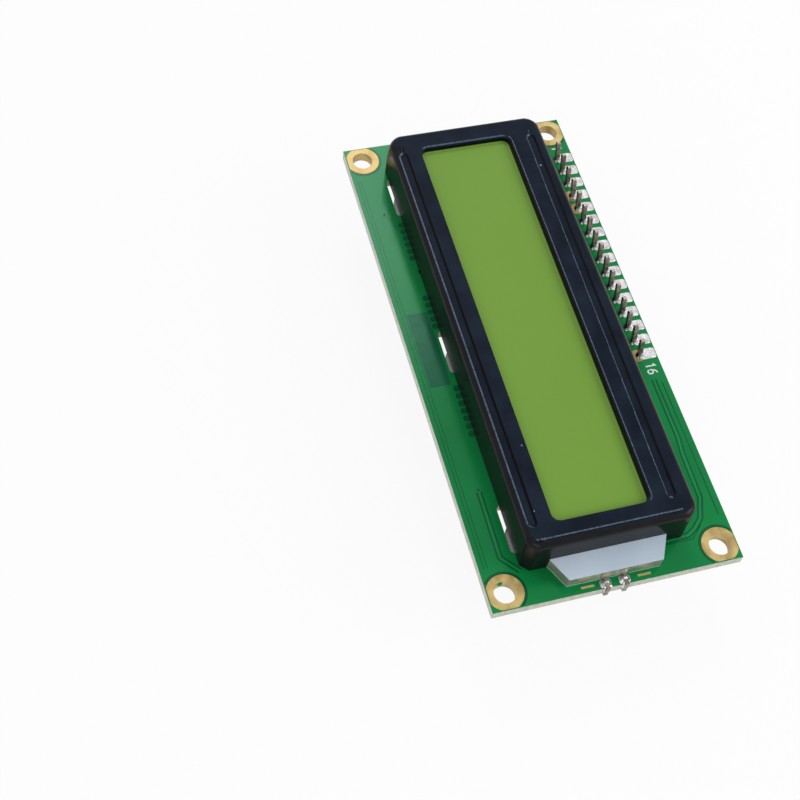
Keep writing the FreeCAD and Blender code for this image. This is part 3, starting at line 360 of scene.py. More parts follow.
# %% [markdown]
# ## Board finish
# The mask is a glossy green film. Over copper it looks lighter than over bare glass fibre, and the
# cut edges are not coated at all, so there the pale fibre shows. The shader asks for the face's own
# direction: where it lies flat it is mask, elsewhere it is the cut edge with fine layers.


# %% Mask over fibre, with cut edges
GREEN_TINT = (0.45, 1.0, 0.72, 1.0)


def film_finish(name, dark, light, tint=GREEN_TINT, roughness=(0.16, 0.26), scale=90.0):
    """Make the finish of glossy mask and of what is seen through it."""
    return finish(name, dark, light, roughness, scale, 0.012, 900.0, Specular_IOR_Level=0.28,
                  Specular_Tint=tint)


def board_finish(name, dark, light, edge_dark, edge_light, roughness, tint):
    """Make a board: mask on the faces that lie flat, layered fibre on the edges."""
    material = film_finish(name, dark, light, tint, roughness, 60.0)
    tree = material.node_tree
    normal = add_node(tree, "NewGeometry", {}).outputs["True Normal"]
    height = add_node(tree, "SeparateXYZ", {"Vector": normal}).outputs["Z"]
    is_flat = calculated(tree, "GREATER_THAN", calculated(tree, "ABSOLUTE", height), 0.6)
    fibre = ramp(tree, noise(tree, 1400.0), (0.35, srgb(*edge_dark)), (0.65, srgb(*edge_light)))
    feed(tree, shader_of(material), {"Base Color": mixed(tree, is_flat, fibre, base_of(material))})
    return material


green_board = board_finish("green_board", (10, 124, 60), (16, 138, 70), (160, 164, 148), (190, 190, 176),
                           (0.16, 0.24), GREEN_TINT)
black_board = board_finish("black_board", (44, 44, 48), (60, 60, 65), (92, 94, 92), (160, 162, 158),
                           (0.22, 0.32), WHITE)
copper_finish = film_finish("copper_under_mask", (44, 148, 86), (56, 162, 98))
field_finish = film_finish("field_under_mask", (14, 134, 66), (22, 146, 78))
bare_finish = film_finish("fibre_under_mask", (16, 92, 62), (22, 102, 70))
gap_finish = film_finish("gap_under_mask", (8, 82, 46), (12, 94, 54))
black_copper = film_finish("copper_under_black_mask", (70, 70, 76), (82, 82, 88), WHITE)
# Near-black discs put where holes are: painted shade of the holes' insides
hole_shade_finish = finish("painted_hole_shade", (8, 10, 10), (18, 20, 20), (0.6, 0.8), 900.0)

# %% [markdown]
# ## Frame, panel and light guide finishes
# The frame is satin black enamel with a cold tint, a very fine orange peel and a few pale specks of
# dust. The panel is a flat yellow-green film. The guide is clear acrylic with a faint green body, and
# a white film lies on it.


# %% Enamel, film and acrylic
enamel = finish("black_enamel", (25, 32, 43), (33, 42, 55), (0.34, 0.44), 220.0, 0.014, 3500.0,
                Specular_IOR_Level=0.02)
# Pale enamel for painted highlights on the frame's edges and lit slopes
painted_highlight_enamel = finish("enamel_painted_highlight", (54, 66, 82), (88, 104, 126), (0.3, 0.4), 2600.0,
                     Specular_IOR_Level=0.2)
# Near-black enamel for painted shade in the frame's grooves, dimples and lips
painted_shade_enamel = finish("enamel_painted_shade", (6, 7, 9), (12, 13, 17), (0.35, 0.45), 900.0, Specular_IOR_Level=0.1)
# Glossy enamel of the outer walls and rounded edge; its colour, darker than the face's, is painted shade
wall_enamel_painted_shade = finish("wall_enamel_painted_shade", (16, 16, 19), (22, 22, 26), (0.16, 0.26), 300.0, 0.006, 2500.0,
                     Specular_IOR_Level=0.12)
tree = enamel.node_tree
place = add_node(tree, "TexCoord", {}).outputs["Object"]
cells = add_node(tree, "TexVoronoi", {"Vector": place, "Scale": 330.0}).outputs["Distance"]
specks = ramp(tree, cells, (0.035, WHITE), (0.07, BLACK))
rare = ramp(tree, noise(tree, 140.0, 0.0), (0.52, BLACK), (0.56, WHITE))
dust = calculated(tree, "MULTIPLY", specks, rare)
feed(tree, shader_of(enamel), {"Base Color": mixed(tree, dust, base_of(enamel), srgb(140, 148, 156))})

panel_finish = finish("panel_film", (118, 158, 64), (121, 162, 67), (0.42, 0.46), 25.0,
                      Specular_IOR_Level=0.1)
# A paler green for a strip round the panel's edge: painted highlight
rim_highlight_finish = finish("panel_edge_painted_highlight", (128, 170, 78), (133, 175, 83), (0.42, 0.46), 60.0,
                    Specular_IOR_Level=0.1)
glass_finish = finish("panel_glass", (150, 180, 120), (158, 188, 128), (0.05, 0.08), 60.0, IOR=1.5)
guide_finish = finish("clear_acrylic", (138, 148, 124), (178, 190, 166), (0.05, 0.15), 500.0, IOR=1.49,
                      Transmission_Weight=0.35)
print("finishes:", len(bpy.data.materials))

# %% [markdown]
# ## The CAD nodes that keep their shape
# Flat, moulded and cut parts already have the right shape. They only get their finish.

# %% Finishes on CAD nodes
kept_finishes = [
    (green_board, ["main_board"]), (black_board, ["daughter_board"]), (gold_finish, ["hole_rings"]),
    (panel_finish, ["front_polarizer", "rear_polarizer"]), (glass_finish, ["front_glass", "rear_glass"]),
    (sheet_finish, ["diffuser_sheet", "guide_backing", "guide_film"]), (guide_finish, ["light_guide"]),
    (rubber_finish, ["contact_strips"]), (lamp_finish, ["backlight_lamp"]),
    (moulded_finish, ["header_spacer", "expander_body", "serial_block", "jumper_block", "jumper_cap"]),
    (tinned_finish, ["header_pins", "lamp_leads", "trimmer_legs", "expander_leads", "serial_pins",
                     "jumper_pins"]),
    (solder_finish, ["board_resistor_ends", "chip_resistor_ends", "capacitor_ends"]),
    (ceramic_finish, ["board_resistors", "chip_resistors"]), (capacitor_finish, ["chip_capacitor"]),
    (trimmer_finish, ["trimmer_housing"]), (rotor_finish, ["trimmer_rotor"]),
    (spring_finish, ["jumper_clip"]), (glow_finish, ["power_lamp"]),
]
for material, names in kept_finishes:
    for name in names:
        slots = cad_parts[name].data.materials
        slots.clear()
        slots.append(material)
print("nodes with a finish:", sum(len(names) for _, names in kept_finishes))

# %% [markdown]
# ## The pressed frame
# The real frame is one sheet of steel, drawn into a tray, with a window whose edge is turned down.
# Subdivision would round it too evenly, so the surface is computed: a section is carried round the
# tray, up the wall, over the rounded edge, across the face, down the window's lip and back inside.
# Channels, a coined line and dimples are dents in the face's height.

# %% Sizes of the frame
TRAY_X = (bezel_high[0] - bezel_low[0]) / 2
TRAY_MIDDLE_X = (bezel_high[0] + bezel_low[0]) / 2
TRAY_Y = 12.05
TRAY_MIDDLE_Y = -0.45
FACE_Z = bezel_high[2]
SHEET = 0.5
EDGE_ROUND = 0.9
CORNER_CUT = 1.1
WINDOW = np.array([-32.45, 31.95, -8.1, 6.0])
WINDOW_ROUND = 1.15
WINDOW_SKEW = 0.45
LIP_DROP = 1.0
GUIDE_GAP = (-9.0, 7.9, 2.45)
# Each dent: from x, y to x, y, then its width, its depth and half the width of its slope
LOW_CHANNEL = (-31.5, -11.0, 31.5, -11.0, 1.1, 0.3, 0.12)
HIGH_CHANNEL = (-31.5, 9.5, 31.5, 8.7, 1.1, 0.3, 0.12)
COINED_LINE = (34.22, -11.3, 34.22, 9.1, 0.14, 0.12, 0.1)
DIMPLE_X = -32.9
DIMPLES = [(DIMPLE_X, y, DIMPLE_X, y, 0.6, 0.3, 0.14) for y in (-11.0, 9.6)]


def smooth_step(values):
    """Rise from 0 to 1 as values go from 0 to 1: 3 v squared minus 2 v cubed, held outside."""
    held = np.clip(values, 0.0, 1.0)
    return held * held * (3.0 - 2.0 * held)


def dents_at(x, y):
    """Give each dent's distance from (x, y), negative inside it, its depth and its slope.

    A dent is a stadium: the distance is that to a segment minus half the dent's width.
    """
    for x0, y0, x1, y1, width, depth, slope in [LOW_CHANNEL, HIGH_CHANNEL, COINED_LINE] + DIMPLES:
        run = np.array([x1 - x0, y1 - y0])
        share = np.clip(((x - x0) * run[0] + (y - y0) * run[1]) / max(run @ run, 1e-9), 0.0, 1.0)
        yield np.hypot(x - x0 - share * run[0], y - y0 - share * run[1]) - width / 2, depth, slope


def face_dent(x, y):
    """Return how deep the face is pressed at (x, y), the deepest of all dents.

    The depth falls smoothly from full to none while the distance goes from minus to plus the slope.
    """
    return np.max([depth * smooth_step((slope - distance) / (2 * slope))
                   for distance, depth, slope in dents_at(x, y)], axis=0)


def side_samples(length, crowded):
    """Return places from 0 to 1 along a side, closer together near the crowded places."""
    plain = np.linspace(0.0, 1.0, 25)
    extra = [place + np.linspace(-2.0, 2.0, 33) / length for place in crowded]
    return np.unique(np.clip(np.concatenate([plain] + extra), 0.0, 1.0).round(6))


LONG_STEPS = side_samples(2 * TRAY_X, [0.035, 0.965])
SHORT_STEPS = side_samples(2 * TRAY_Y, [0.04, 0.16, 0.86])
CORNER_STEPS = np.linspace(0.0, 1.0, 9)[1:-1]


def loop_round(low_x, high_x, low_y, high_y, cut, arc):
    """Return one loop, anticlockwise from the low side.

    Four straight sides are joined by corners that start cut millimetres short of the true corner. A
    corner is a straight facet with arc 0 and a quarter circle with arc 1: the point at share s is the
    facet's point plus arc times the circle's bulge.
    """
    sides = [((low_x + cut, low_y), (high_x - cut, low_y), LONG_STEPS),
             ((high_x, low_y + cut), (high_x, high_y - cut), SHORT_STEPS),
             ((high_x - cut, high_y), (low_x + cut, high_y), LONG_STEPS),
             ((low_x, high_y - cut), (low_x, low_y + cut), SHORT_STEPS)]
    centres = [(high_x - cut, low_y + cut), (high_x - cut, high_y - cut),
               (low_x + cut, high_y - cut), (low_x + cut, low_y + cut)]
    points = []
    for index, (start, end, steps) in enumerate(sides):
        start, end = np.array(start), np.array(end)
        points.append(start + steps[:, None] * (end - start))
        following = np.array(sides[(index + 1) % 4][0])
        facet = end + CORNER_STEPS[:, None] * (following - end)
        angle = math.radians(-90 + 90 * index) + CORNER_STEPS * math.pi / 2
        circle = np.array(centres[index]) + cut * np.stack([np.cos(angle), np.sin(angle)], axis=-1)
        points.append(facet + arc * (circle - facet))
    return np.vstack(points)


def tray_loop(inset, end_inset=None, roundness=0.0):
    """Return the tray's outline set in from the walls.

    Its corners are straight cuts at the foot, and longer and rounder with roundness towards the face.
    """
    end_inset = inset if end_inset is None else end_inset
    cut = CORNER_CUT + 0.9 * roundness - (inset + end_inset) / 2 * math.tan(math.radians(22.5))
    return loop_round(TRAY_MIDDLE_X - TRAY_X + end_inset, TRAY_MIDDLE_X + TRAY_X - end_inset,
                      TRAY_MIDDLE_Y - TRAY_Y + inset, TRAY_MIDDLE_Y + TRAY_Y - inset,
                      max(cut, 0.05), 0.9 * roundness)


def window_skew(x, y):
    """Return how far the window's header side is set in at (x, y): more towards the lamp's end."""
    along = np.clip((x - WINDOW[0]) / (WINDOW[1] - WINDOW[0]), 0.0, 1.0)
    return WINDOW_SKEW * along * smooth_step(0.5 + (y - WINDOW[2:].mean()) / 8.0)


def window_loop(outset):
    """Return the window's rounded outline, set out into the face."""
    low_x, high_x, low_y, high_y = WINDOW
    loop = loop_round(low_x - outset, high_x + outset, low_y - outset, high_y + outset,
                      WINDOW_ROUND + outset, 1.0)
    loop[:, 1] -= window_skew(loop[:, 0], loop[:, 1])
    return loop


# %% The frame's section carried round
def wall_foot(loop):
    """Return the wall's lower edge: the board, or above the light guide at the lamp's end."""
    low, high, top = GUIDE_GAP
    over_guide = (loop[:, 0] > TRAY_MIDDLE_X + TRAY_X - 1.0) & (loop[:, 1] > low) & (loop[:, 1] < high)
    return np.where(over_guide, top, 0.0)


def bezel_rings():
    """Return the rings of the frame's section, outside first.

    The rounded edge is a quarter circle: at angle t it is set in by r (1 - cos t) and raised by r sin t.
    Face rings run at fixed insets past the channels and then blend into the window's outline.
    """
    foot = wall_foot(tray_loop(0.0))
    shoulder = FACE_Z - EDGE_ROUND
    rings = [lifted(tray_loop(0.0, roundness=0.5 * share ** 2), foot + share * (shoulder - foot))
             for share in (0.0, 0.03, 0.4, 0.7, 0.85, 1.0)]
    for angle in np.linspace(0.0, math.pi / 2, 8)[1:]:
        loop = tray_loop(EDGE_ROUND * (1 - math.cos(angle)), roundness=0.5 + 0.5 * math.sin(angle))
        rings.append(lifted(loop, shoulder + EDGE_ROUND * math.sin(angle)))
    for share in np.linspace(0.0, 1.0, 40):
        loop = tray_loop(0.93 + 2.87 * share, 0.93 + 1.5 * share, 1.0)
        rings.append(lifted(loop, FACE_Z - face_dent(loop[:, 0], loop[:, 1])))
    last, edge = tray_loop(3.8, 2.43, 1.0), window_loop(0.36)
    for share in (0.3, 0.65, 0.92, 1.0):
        rings.append(lifted(last + share * (edge - last), FACE_Z))
    for angle in np.linspace(0.0, math.pi / 2, 6)[1:]:
        loop = window_loop(0.36 - 0.36 * math.sin(angle))
        rings.append(lifted(loop, FACE_Z - 0.36 * (1 - math.cos(angle))))
    lip_foot = FACE_Z - LIP_DROP
    rings += [lifted(window_loop(0.0), lip_foot + 0.05), lifted(window_loop(0.05), lip_foot),
              lifted(window_loop(0.42), lip_foot), lifted(window_loop(0.45), FACE_Z - SHEET - 0.05)]
    inside = tray_loop(SHEET)
    rings += [lifted(inside, FACE_Z - SHEET), lifted(inside, wall_foot(inside))]
    return np.stack(rings)


bezel_parts = [stack(bezel_rings(), loop=True)]

# %% [markdown]
# ### Twisted tabs
# Six tongues of the frame pass through slots in the board. Each is twisted about its own length once
# it is through, so it can't go back. That is a strip whose width direction turns as it goes deeper.


# %% The six tabs
def tab_strip(middle_x, side_y, sign):
    """Return a tab: an upright strip carried along a path in plan.

    The path runs straight through the slot over the neck's width. Then, with share w from 0 to 1, it
    goes on by 3.5 w along the slot and 2.8 w^1.3 across it. The strip's top is inside the tray over the
    neck and under the board behind it, and its lower edge rises a little at the free end.
    """
    far, near = middle_x + sign * 3.35, middle_x + sign * 0.05
    shares = np.linspace(0.0, 1.0, 9)[1:]
    bend = np.stack([near - sign * 3.5 * shares, side_y + sign * 2.8 * shares ** 1.3], axis=-1)
    path = np.vstack([[(far, side_y), (near + sign * 0.8, side_y), (near + sign * 0.01, side_y),
                       (near, side_y)], bend])
    top = np.array([0.4, 0.4, 0.4] + [BACK_Z - 0.06] * 9)
    foot = np.array([BACK_Z - 1.6] * 8 + [BACK_Z - 1.58, BACK_Z - 1.52, BACK_Z - 1.4, BACK_Z - 1.15])
    return strip(path, SHEET - 0.06, foot, top)


SLOTS_X = [TRAY_MIDDLE_X + step * (TRAY_X - 6.5) for step in (-1.0, 0.0, 1.0)]
for slot_x in SLOTS_X:
    for side in (-1.0, 1.0):
        bezel_parts.append(tab_strip(slot_x, TRAY_MIDDLE_Y + side * (TRAY_Y - SHEET / 2), -side))
pressed = make_piece("pressed_frame", bezel_parts, enamel, replaces=["bezel"], crease=40.0)

# %% [markdown]
# ### Painted highlights and shade on the enamel
# Each face of the frame gets one of four enamels, by where its middle lies: plain; pale, a painted
# highlight where an edge or a dent's slope would catch the light; near black, painted shade in grooves,
# dimples and lips; and glossy and darker on the outer side walls, where the darker colour is painted shade.

# %% The four enamels
PLAIN, PAINTED_HIGHLIGHT, PAINTED_SHADE, DARKENED_WALL = range(4)
middles = np.zeros(len(pressed.data.polygons) * 3)
pressed.data.polygons.foreach_get("center", middles)
x, y, z = middles.reshape(-1, 3).T / MM
wall_room = np.minimum(TRAY_X - abs(x - TRAY_MIDDLE_X), TRAY_Y - abs(y - TRAY_MIDDLE_Y))
past_x = abs(x - WINDOW[:2].mean()) - (WINDOW[1] - WINDOW[0]) / 2 + WINDOW_ROUND
skewed_y = y + window_skew(x, y)
past_y = abs(skewed_y - WINDOW[2:].mean()) - (WINDOW[3] - WINDOW[2]) / 2 + WINDOW_ROUND
window_room = (np.hypot(np.maximum(past_x, 0), np.maximum(past_y, 0))
               + np.minimum(np.maximum(past_x, past_y), 0) - WINDOW_ROUND)
distance = np.min([each for each, _, _ in dents_at(x, y)], axis=0)
on_face = z > FACE_Z - 0.45
header_side = on_face & (skewed_y > WINDOW[3])
channel_y = np.where(y < 0, LOW_CHANNEL[1], (HIGH_CHANNEL[1] + HIGH_CHANNEL[3]) / 2
                     + (HIGH_CHANNEL[3] - HIGH_CHANNEL[1]) / 2 * x / HIGH_CHANNEL[2])
lit_slope = np.where(x > COINED_LINE[0] - 1.0, x < COINED_LINE[0], y < channel_y)
zone = np.full(len(x), PLAIN)
# The outer walls and rounded edge take the darker glossy enamel: painted shade
zone[(z < FACE_Z - 0.02) & (wall_room < EDGE_ROUND)] = DARKENED_WALL
# Painted highlights: a pale line inside the window's far end, one on the header side beyond the window's
# lip, and one on the slope of each dent that faces the light
zone[on_face & (window_room > 0.12) & (window_room < 0.34) & (x < WINDOW[0])] = PAINTED_HIGHLIGHT
# Painted shade: black on the header side's lip, in every dent, and on the lip walls all round the window
zone[header_side & (window_room < 0.37)] = PAINTED_SHADE
zone[header_side & (window_room > 0.37) & (window_room < 0.5)] = PAINTED_HIGHLIGHT
zone[on_face & (distance > -0.13) & (distance < 0.13)] = PAINTED_SHADE
zone[on_face & (distance > -0.05) & (distance < 0.17) & lit_slope] = PAINTED_HIGHLIGHT
zone[(z < FACE_Z - 0.2) & (window_room < 0.1)] = PAINTED_SHADE
# In each dimple: a painted highlight in the middle, painted shade in a ring round it
by_dimple = on_face & (x < DIMPLE_X + 0.7) & (wall_room > 0.9) & (distance < 0.3)
zone[by_dimple] = np.where(distance[by_dimple] < 0.0, PAINTED_SHADE, PLAIN)
zone[by_dimple & (distance < -0.16)] = PAINTED_HIGHLIGHT
for material in (painted_highlight_enamel, painted_shade_enamel, wall_enamel_painted_shade):
    pressed.data.materials.append(material)
pressed.data.polygons.foreach_set("material_index", zone)
print("faces of each enamel:", np.bincount(zone))

# A thin pale strip on the panel just inside the window's edge: a painted highlight
rim = [strip(window_loop(-0.16), 0.26, FACE_Z - LIP_DROP - 0.02, FACE_Z - LIP_DROP + 0.012, closed=True)]
make_piece("panel_edge_painted_highlight", rim, rim_highlight_finish)

# %% [markdown]
# ## Solder
# A joint is a liquid that froze: it wets the pad's outline, climbs the pin in a hollow curve and
# sags to one side. The rings shrink from the pad to the pin, and their height follows a power curve
# that is lumpy in a different way at each pin.


# %% Solder joints round the pins
AROUND = np.linspace(0.0, 2 * math.pi, 28, endpoint=False)


def joint(place, half_x, half_y, height, pin, seed, top_shift=0.0, direction=1.0, flat=False):
    """Return one joint with its foot at place.

    The foot is a superellipse of half widths half_x and half_y, the top a circle of radius pin moved by
    top_shift along y. At share t the ring is foot + (top - foot) t, and its height is
    height times a low shoulder plus a steep climb, changed by a few sines of the angle: with flat
    shoulders 0.16 min(8 t, 1) + 0.84 t^6, else 0.25 t^0.5 + 0.75 t^2.6.
    """
    x, y, z = place
    power = 0.35 if flat else 0.55
    foot_x = half_x * np.sign(np.cos(AROUND)) * np.abs(np.cos(AROUND)) ** power
    foot_y = half_y * np.sign(np.sin(AROUND)) * np.abs(np.sin(AROUND)) ** power
    shares = np.array([0.0, 0.02, 0.12, 0.3, 0.5, 0.68, 0.84, 0.94, 1.0])[:, None]
    ring_x = foot_x * (1 - shares) + pin * np.cos(AROUND) * shares
    ring_y = foot_y * (1 - shares) + (pin * np.sin(AROUND) + top_shift) * shares
    rise = 0.25 * shares ** 0.5 + 0.75 * shares ** 2.6
    if flat:
        rise = 0.16 * np.minimum(8 * shares, 1.0) + 0.84 * shares ** 6
    lumps = 1 + 0.22 * np.sin(2 * AROUND + 1.7 * seed) * shares * (1 - shares) * 4
    lumps = lumps + 0.16 * np.sin(3 * AROUND + 2.9 * seed) * (1 - shares)
    heights = z + direction * height * rise * lumps
    heights[0] = z
    return stack(np.stack([x + ring_x, y + ring_y, heights], axis=-1))


FOOT_LOW_Y, FOOT_HIGH_Y = ROW_Y - 0.3, HALF_WIDTH - 0.1
foot_y, foot_half = (FOOT_HIGH_Y + FOOT_LOW_Y) / 2, (FOOT_HIGH_Y - FOOT_LOW_Y) / 2
front_parts = []
for pin, pin_x in enumerate(PIN_X):
    front_parts.append(joint((pin_x, foot_y, 0.0), 0.9, foot_half, 0.62, 0.34, pin, ROW_Y + 0.02 - foot_y,
                             flat=True))
    front_parts.append(joint((pin_x + 0.42, ROW_Y - 0.52, 0.0), 0.24, 0.17, 0.2, 0.1, pin, flat=True))
make_piece("front_solder", front_parts, flat_solder, replaces=["front_joints"], crease=SOFT)
rear_parts = leaning([joint((pin * PITCH, 0.0, OUTER_Z), 0.88, 0.88, 0.95, 0.38, pin + 5)
                      for pin in range(PIN_COUNT)])
make_piece("rear_solder", rear_parts, solder_finish, replaces=["rear_joints"], crease=SOFT)

# %% [markdown]
# ## Resin domes
# Each driver chip is a drop of black resin. It has run out a little unevenly, has a rolled rim and a
# low crown, and its skin is finely grained.


# %% Domes over the driver chips
def dome(middle_x, middle_y, radius, height, seed):
    """Return a drop of resin.

    The outline is radius (1 + small sines). At share t of the way in, the ring has (1 - t) of that
    radius, and its height is height (1 - (1 - t)^2.6)^0.62, which is steep at the rim and flat on top.
    """
    around = np.linspace(0.0, 2 * math.pi, 96, endpoint=False)
    outline = radius * (1 + 0.012 * np.sin(2 * around + seed) + 0.01 * np.sin(3 * around + 2 * seed)
                        + 0.004 * np.sin(7 * around + 3 * seed))
    shares = np.array([0, 0.004, 0.012, 0.03, 0.06, 0.1, 0.16, 0.24, 0.34, 0.46, 0.6, 0.75, 0.9])[:, None]
    reach = outline * (1 - shares)
    rise = (1 - (1 - shares) ** 2.6) ** 0.62
    sag = 1 + 0.03 * np.sin(around + seed) * (1 - shares)
    heights = BACK_Z - height * rise * sag
    return stack(np.stack([middle_x + reach * np.cos(around), middle_y + reach * np.sin(around),
                           heights], axis=-1))


dome_parts = [dome(-12.9, -0.5, 6.55, 1.62, 0.4), dome(13.0, 0.5, 5.5, 1.62, 2.1)]
make_piece("resin_domes", dome_parts, resin_finish, replaces=["driver_domes"], crease=SOFT)

# %% [markdown]
# ## Small lumps
# The lamp's leads are held by two blobs on each face, one round jumper is closed by a ball, and the
# inner side of the small board has a joint under every pin and leg.

# %% Lamp, jumper and inner joints
JUMPERS = [(26.8, 5.75), (29.15, 5.7), (31.5, 5.65)]
TRIMMER = (6.9, 6.4)


def lump(place, radii, seed):
    """Return an uneven drop: a ball stretched by radii, its radius changed by sines of both angles."""
    rise = np.linspace(-math.pi / 2, math.pi / 2, 11)[1:-1, None]
    turn = np.linspace(0.0, 2 * math.pi, 20, endpoint=False)[None, :]
    swell = 1 + 0.12 * np.sin(2 * turn + seed) * np.cos(rise) + 0.1 * np.sin(3 * rise + 2 * seed)
    rings = np.stack([np.cos(rise) * np.cos(turn) * swell, np.cos(rise) * np.sin(turn) * swell,
                      np.sin(rise) * np.ones_like(turn) * swell], axis=-1)
    return stack(np.array(place) + rings * np.array(radii))


lamp_parts = []
lead_low, lead_high = corners_of("lamp_leads")
for index, lead_y in enumerate((lead_low[1] + 0.3, lead_high[1] - 0.3)):
    lamp_parts += [joint((39.3, lead_y, 0.0), 0.62, 0.85, 0.72, 0.25, index + 3),
                   joint((39.05, lead_y, BACK_Z), 0.88, 0.85, 0.7, 0.25, index + 8, direction=-1.0),
                   lump((39.72, lead_y + 0.1, 0.1), (0.42, 0.72, 0.34), index + 1.0),
                   lump((39.95, lead_y, -0.85), (0.26, 0.46, 0.85), index + 2.5)]
make_piece("lamp_blobs", lamp_parts, solder_finish, replaces=["lamp_solder"], crease=SOFT)

ball = joint((*JUMPERS[2], BACK_Z), 0.86, 0.86, 0.55, 0.05, 2, direction=-1.0)
make_piece("jumper_ball", [ball], solder_finish, replaces=["bridge_solder"], crease=SOFT)

inner_places = [(-0.5, 4.05 + PITCH * step) for step in range(4)]
inner_places += [(38.45, 5.43 + PITCH * step) for step in range(2)]
inner_places += [(TRIMMER[0] + x, TRIMMER[1] + y) for x, y in ((-2.54, -1.27), (2.54, -1.27), (0.0, 2.54))]
inner_parts = leaning([joint((x, y, INNER_Z), 0.78, 0.78, 0.48, 0.34, index, direction=-1.0)
                       for index, (x, y) in enumerate(inner_places)])
make_piece("inner_solder", inner_parts, solder_finish, replaces=["small_joints"], crease=SOFT)

# %% [markdown]
# ## Copper, bare pads and print
# A board is flat, but its pattern isn't paint on one level: copper stands a little over the fibre,
# both under the same mask, bare pads are gold, and the print lies on top. Each mark is a thin closed
# plate or strip, so it also has a shadow and an edge. The order of thickness is gap, copper, print,
# pad, and of two marks of a kind that cross one is a hair thicker.


# %% Marks on a surface
GAP, COPPER, PAD, PRINT = 0.010, 0.016, 0.034, 0.026
SUNK = 0.01
HAIR = 0.001
FRONT_FACE, BACK_FACE, SMALL_FACE = (0.0, 1.0), (BACK_Z, -1.0), (OUTER_Z, 1.0)


def lines(paths, width, face, thick=PRINT, closed=False):
    """Lay strips of the given thickness on a face, which is (height, direction)."""
    level, direction = face
    return [strip(path, width, level - SUNK * direction, level + thick * direction, closed)
            for path in paths]


def plates(outlines, face, thick):
    """Lay flat plates with convex outlines on a face."""
    level, direction = face
    return [stack(np.stack([lifted(outline, level - SUNK * direction),
                            lifted(outline, level + thick * direction)])) for outline in outlines]


def circle(x, y, radius, steps=20):
    """Return a closed circle's points: x + r cos t, y + r sin t."""
    around = np.linspace(0.0, 2 * math.pi, steps, endpoint=False)
    return np.stack([x + radius * np.cos(around), y + radius * np.sin(around)], axis=-1)


def arc(x, y, radius, start, stop, steps):
    """Return an open arc's points between two angles in degrees."""
    around = np.radians(np.linspace(start, stop, steps))
    return np.stack([x + radius * np.cos(around), y + radius * np.sin(around)], axis=-1)


def block(x, y, half_x, half_y, corner=0.0):
    """Return a rectangle's points, with its corners rounded if asked."""
    if not corner:
        return np.array([(x - half_x, y - half_y), (x + half_x, y - half_y),
                         (x + half_x, y + half_y), (x - half_x, y + half_y)])
    corners = [(1, 1, 0), (-1, 1, 90), (-1, -1, 180), (1, -1, 270)]
    return np.vstack([arc(x + a * (half_x - corner), y + b * (half_y - corner), corner, turn, turn + 90, 5)
                      for a, b, turn in corners])


def blocks(places, half_x, half_y, face, corner=0.0):
    """Lay rectangular pads on a face."""
    return plates([block(x, y, half_x, half_y, corner) for x, y in places], face, PAD)


def discs(places, radius, face, thick=PAD, steps=20):
    """Lay round plates on a face."""
    return plates([circle(x, y, radius, steps) for x, y in places], face, thick)


def bundles(rows, face):
    """Lay parallel traces for rows (path, count, pitch, width), each the path moved by its own offset."""
    parts = []
    for path, count, pitch, width in rows:
        path = np.asarray(path, float)
        across = sideways(path)
        offsets = (np.arange(count) - (count - 1) / 2) * pitch
        parts += lines([path + offset * across for offset in offsets], width, face, COPPER)
    return parts


def vias(places, face, outer, bore):
    """Return the rings of small plated holes and dark discs in their middles, painted shade that stands for
    the open holes.
    """
    rings = lines([circle(x, y, (outer + bore) / 2, 14) for x, y in places], outer - bore, face,
                  COPPER + 4 * HAIR, closed=True)
    return rings, discs(places, bore + 0.02, face, COPPER + 2 * HAIR, 10)


def end_joints(x, y, reach_x, reach_y, z, sizes, seed, direction=1.0):
    """Return the two solder joints at the ends of a chip; sizes are two half widths, height and tip."""
    return [joint((x + side * reach_x, y + side * reach_y, z), *sizes, seed, direction=direction)
            for side in (-1.0, 1.0)]


STROKES = {"1": [[(-0.18, 0.3), (0.04, 0.5), (0.04, -0.5)]],
           "6": [[(0.2, 0.47), (0.02, 0.42), (-0.14, 0.22), (-0.23, -0.1), (-0.23, -0.3)],
                 [(-0.23, -0.22), (-0.16, -0.44), (0.0, -0.5), (0.17, -0.42), (0.23, -0.22),
                  (0.17, -0.02), (0.0, 0.05), (-0.16, -0.01)]]}


def numeral(digits, x, y, height, face, reading=1.0):
    """Draw digits as strokes, read along +X, or along -X with reading -1."""
    paths = []
    for index, digit in enumerate(digits):
        for stroke in STROKES[digit]:
            points = np.array(stroke) * height
            points[:, 0] = x + reading * (points[:, 0] + index * 0.72 * height)
            points[:, 1] += y
            paths.append(points)
    return lines(paths, 0.15 * height, face)


def plus_sign(x, y, face, half=0.55):
    """Draw a plus sign."""
    return (lines([[(x - half, y), (x + half, y)]], 0.2, face)
            + lines([[(x, y - half), (x, y + half)]], 0.2, face, PRINT + HAIR))


def brackets(x, y, half_x, half_y, face):
    """Draw two brackets round a chip, open at the middle of its long sides."""
    short, long = sorted((half_x, half_y))
    paths = []
    for end in (-1.0, 1.0):
        path = np.array([(end * 0.25 * long, -short), (end * long, -short), (end * long, short),
                         (end * 0.25 * long, short)])
        paths.append((x, y) + (path if half_x > half_y else path[:, ::-1]))
    return lines(paths, 0.16, face)


print("marks can be laid on", len((FRONT_FACE, BACK_FACE, SMALL_FACE)), "faces")

# %% [markdown]
# ### The display side of the main board
# Beside the frame the mask shows a trace that dives under it, a row of scalloped clearings, a bare
# place for a label, the rings of clear board round the four holes, and numerals at both ends of the
# header row.

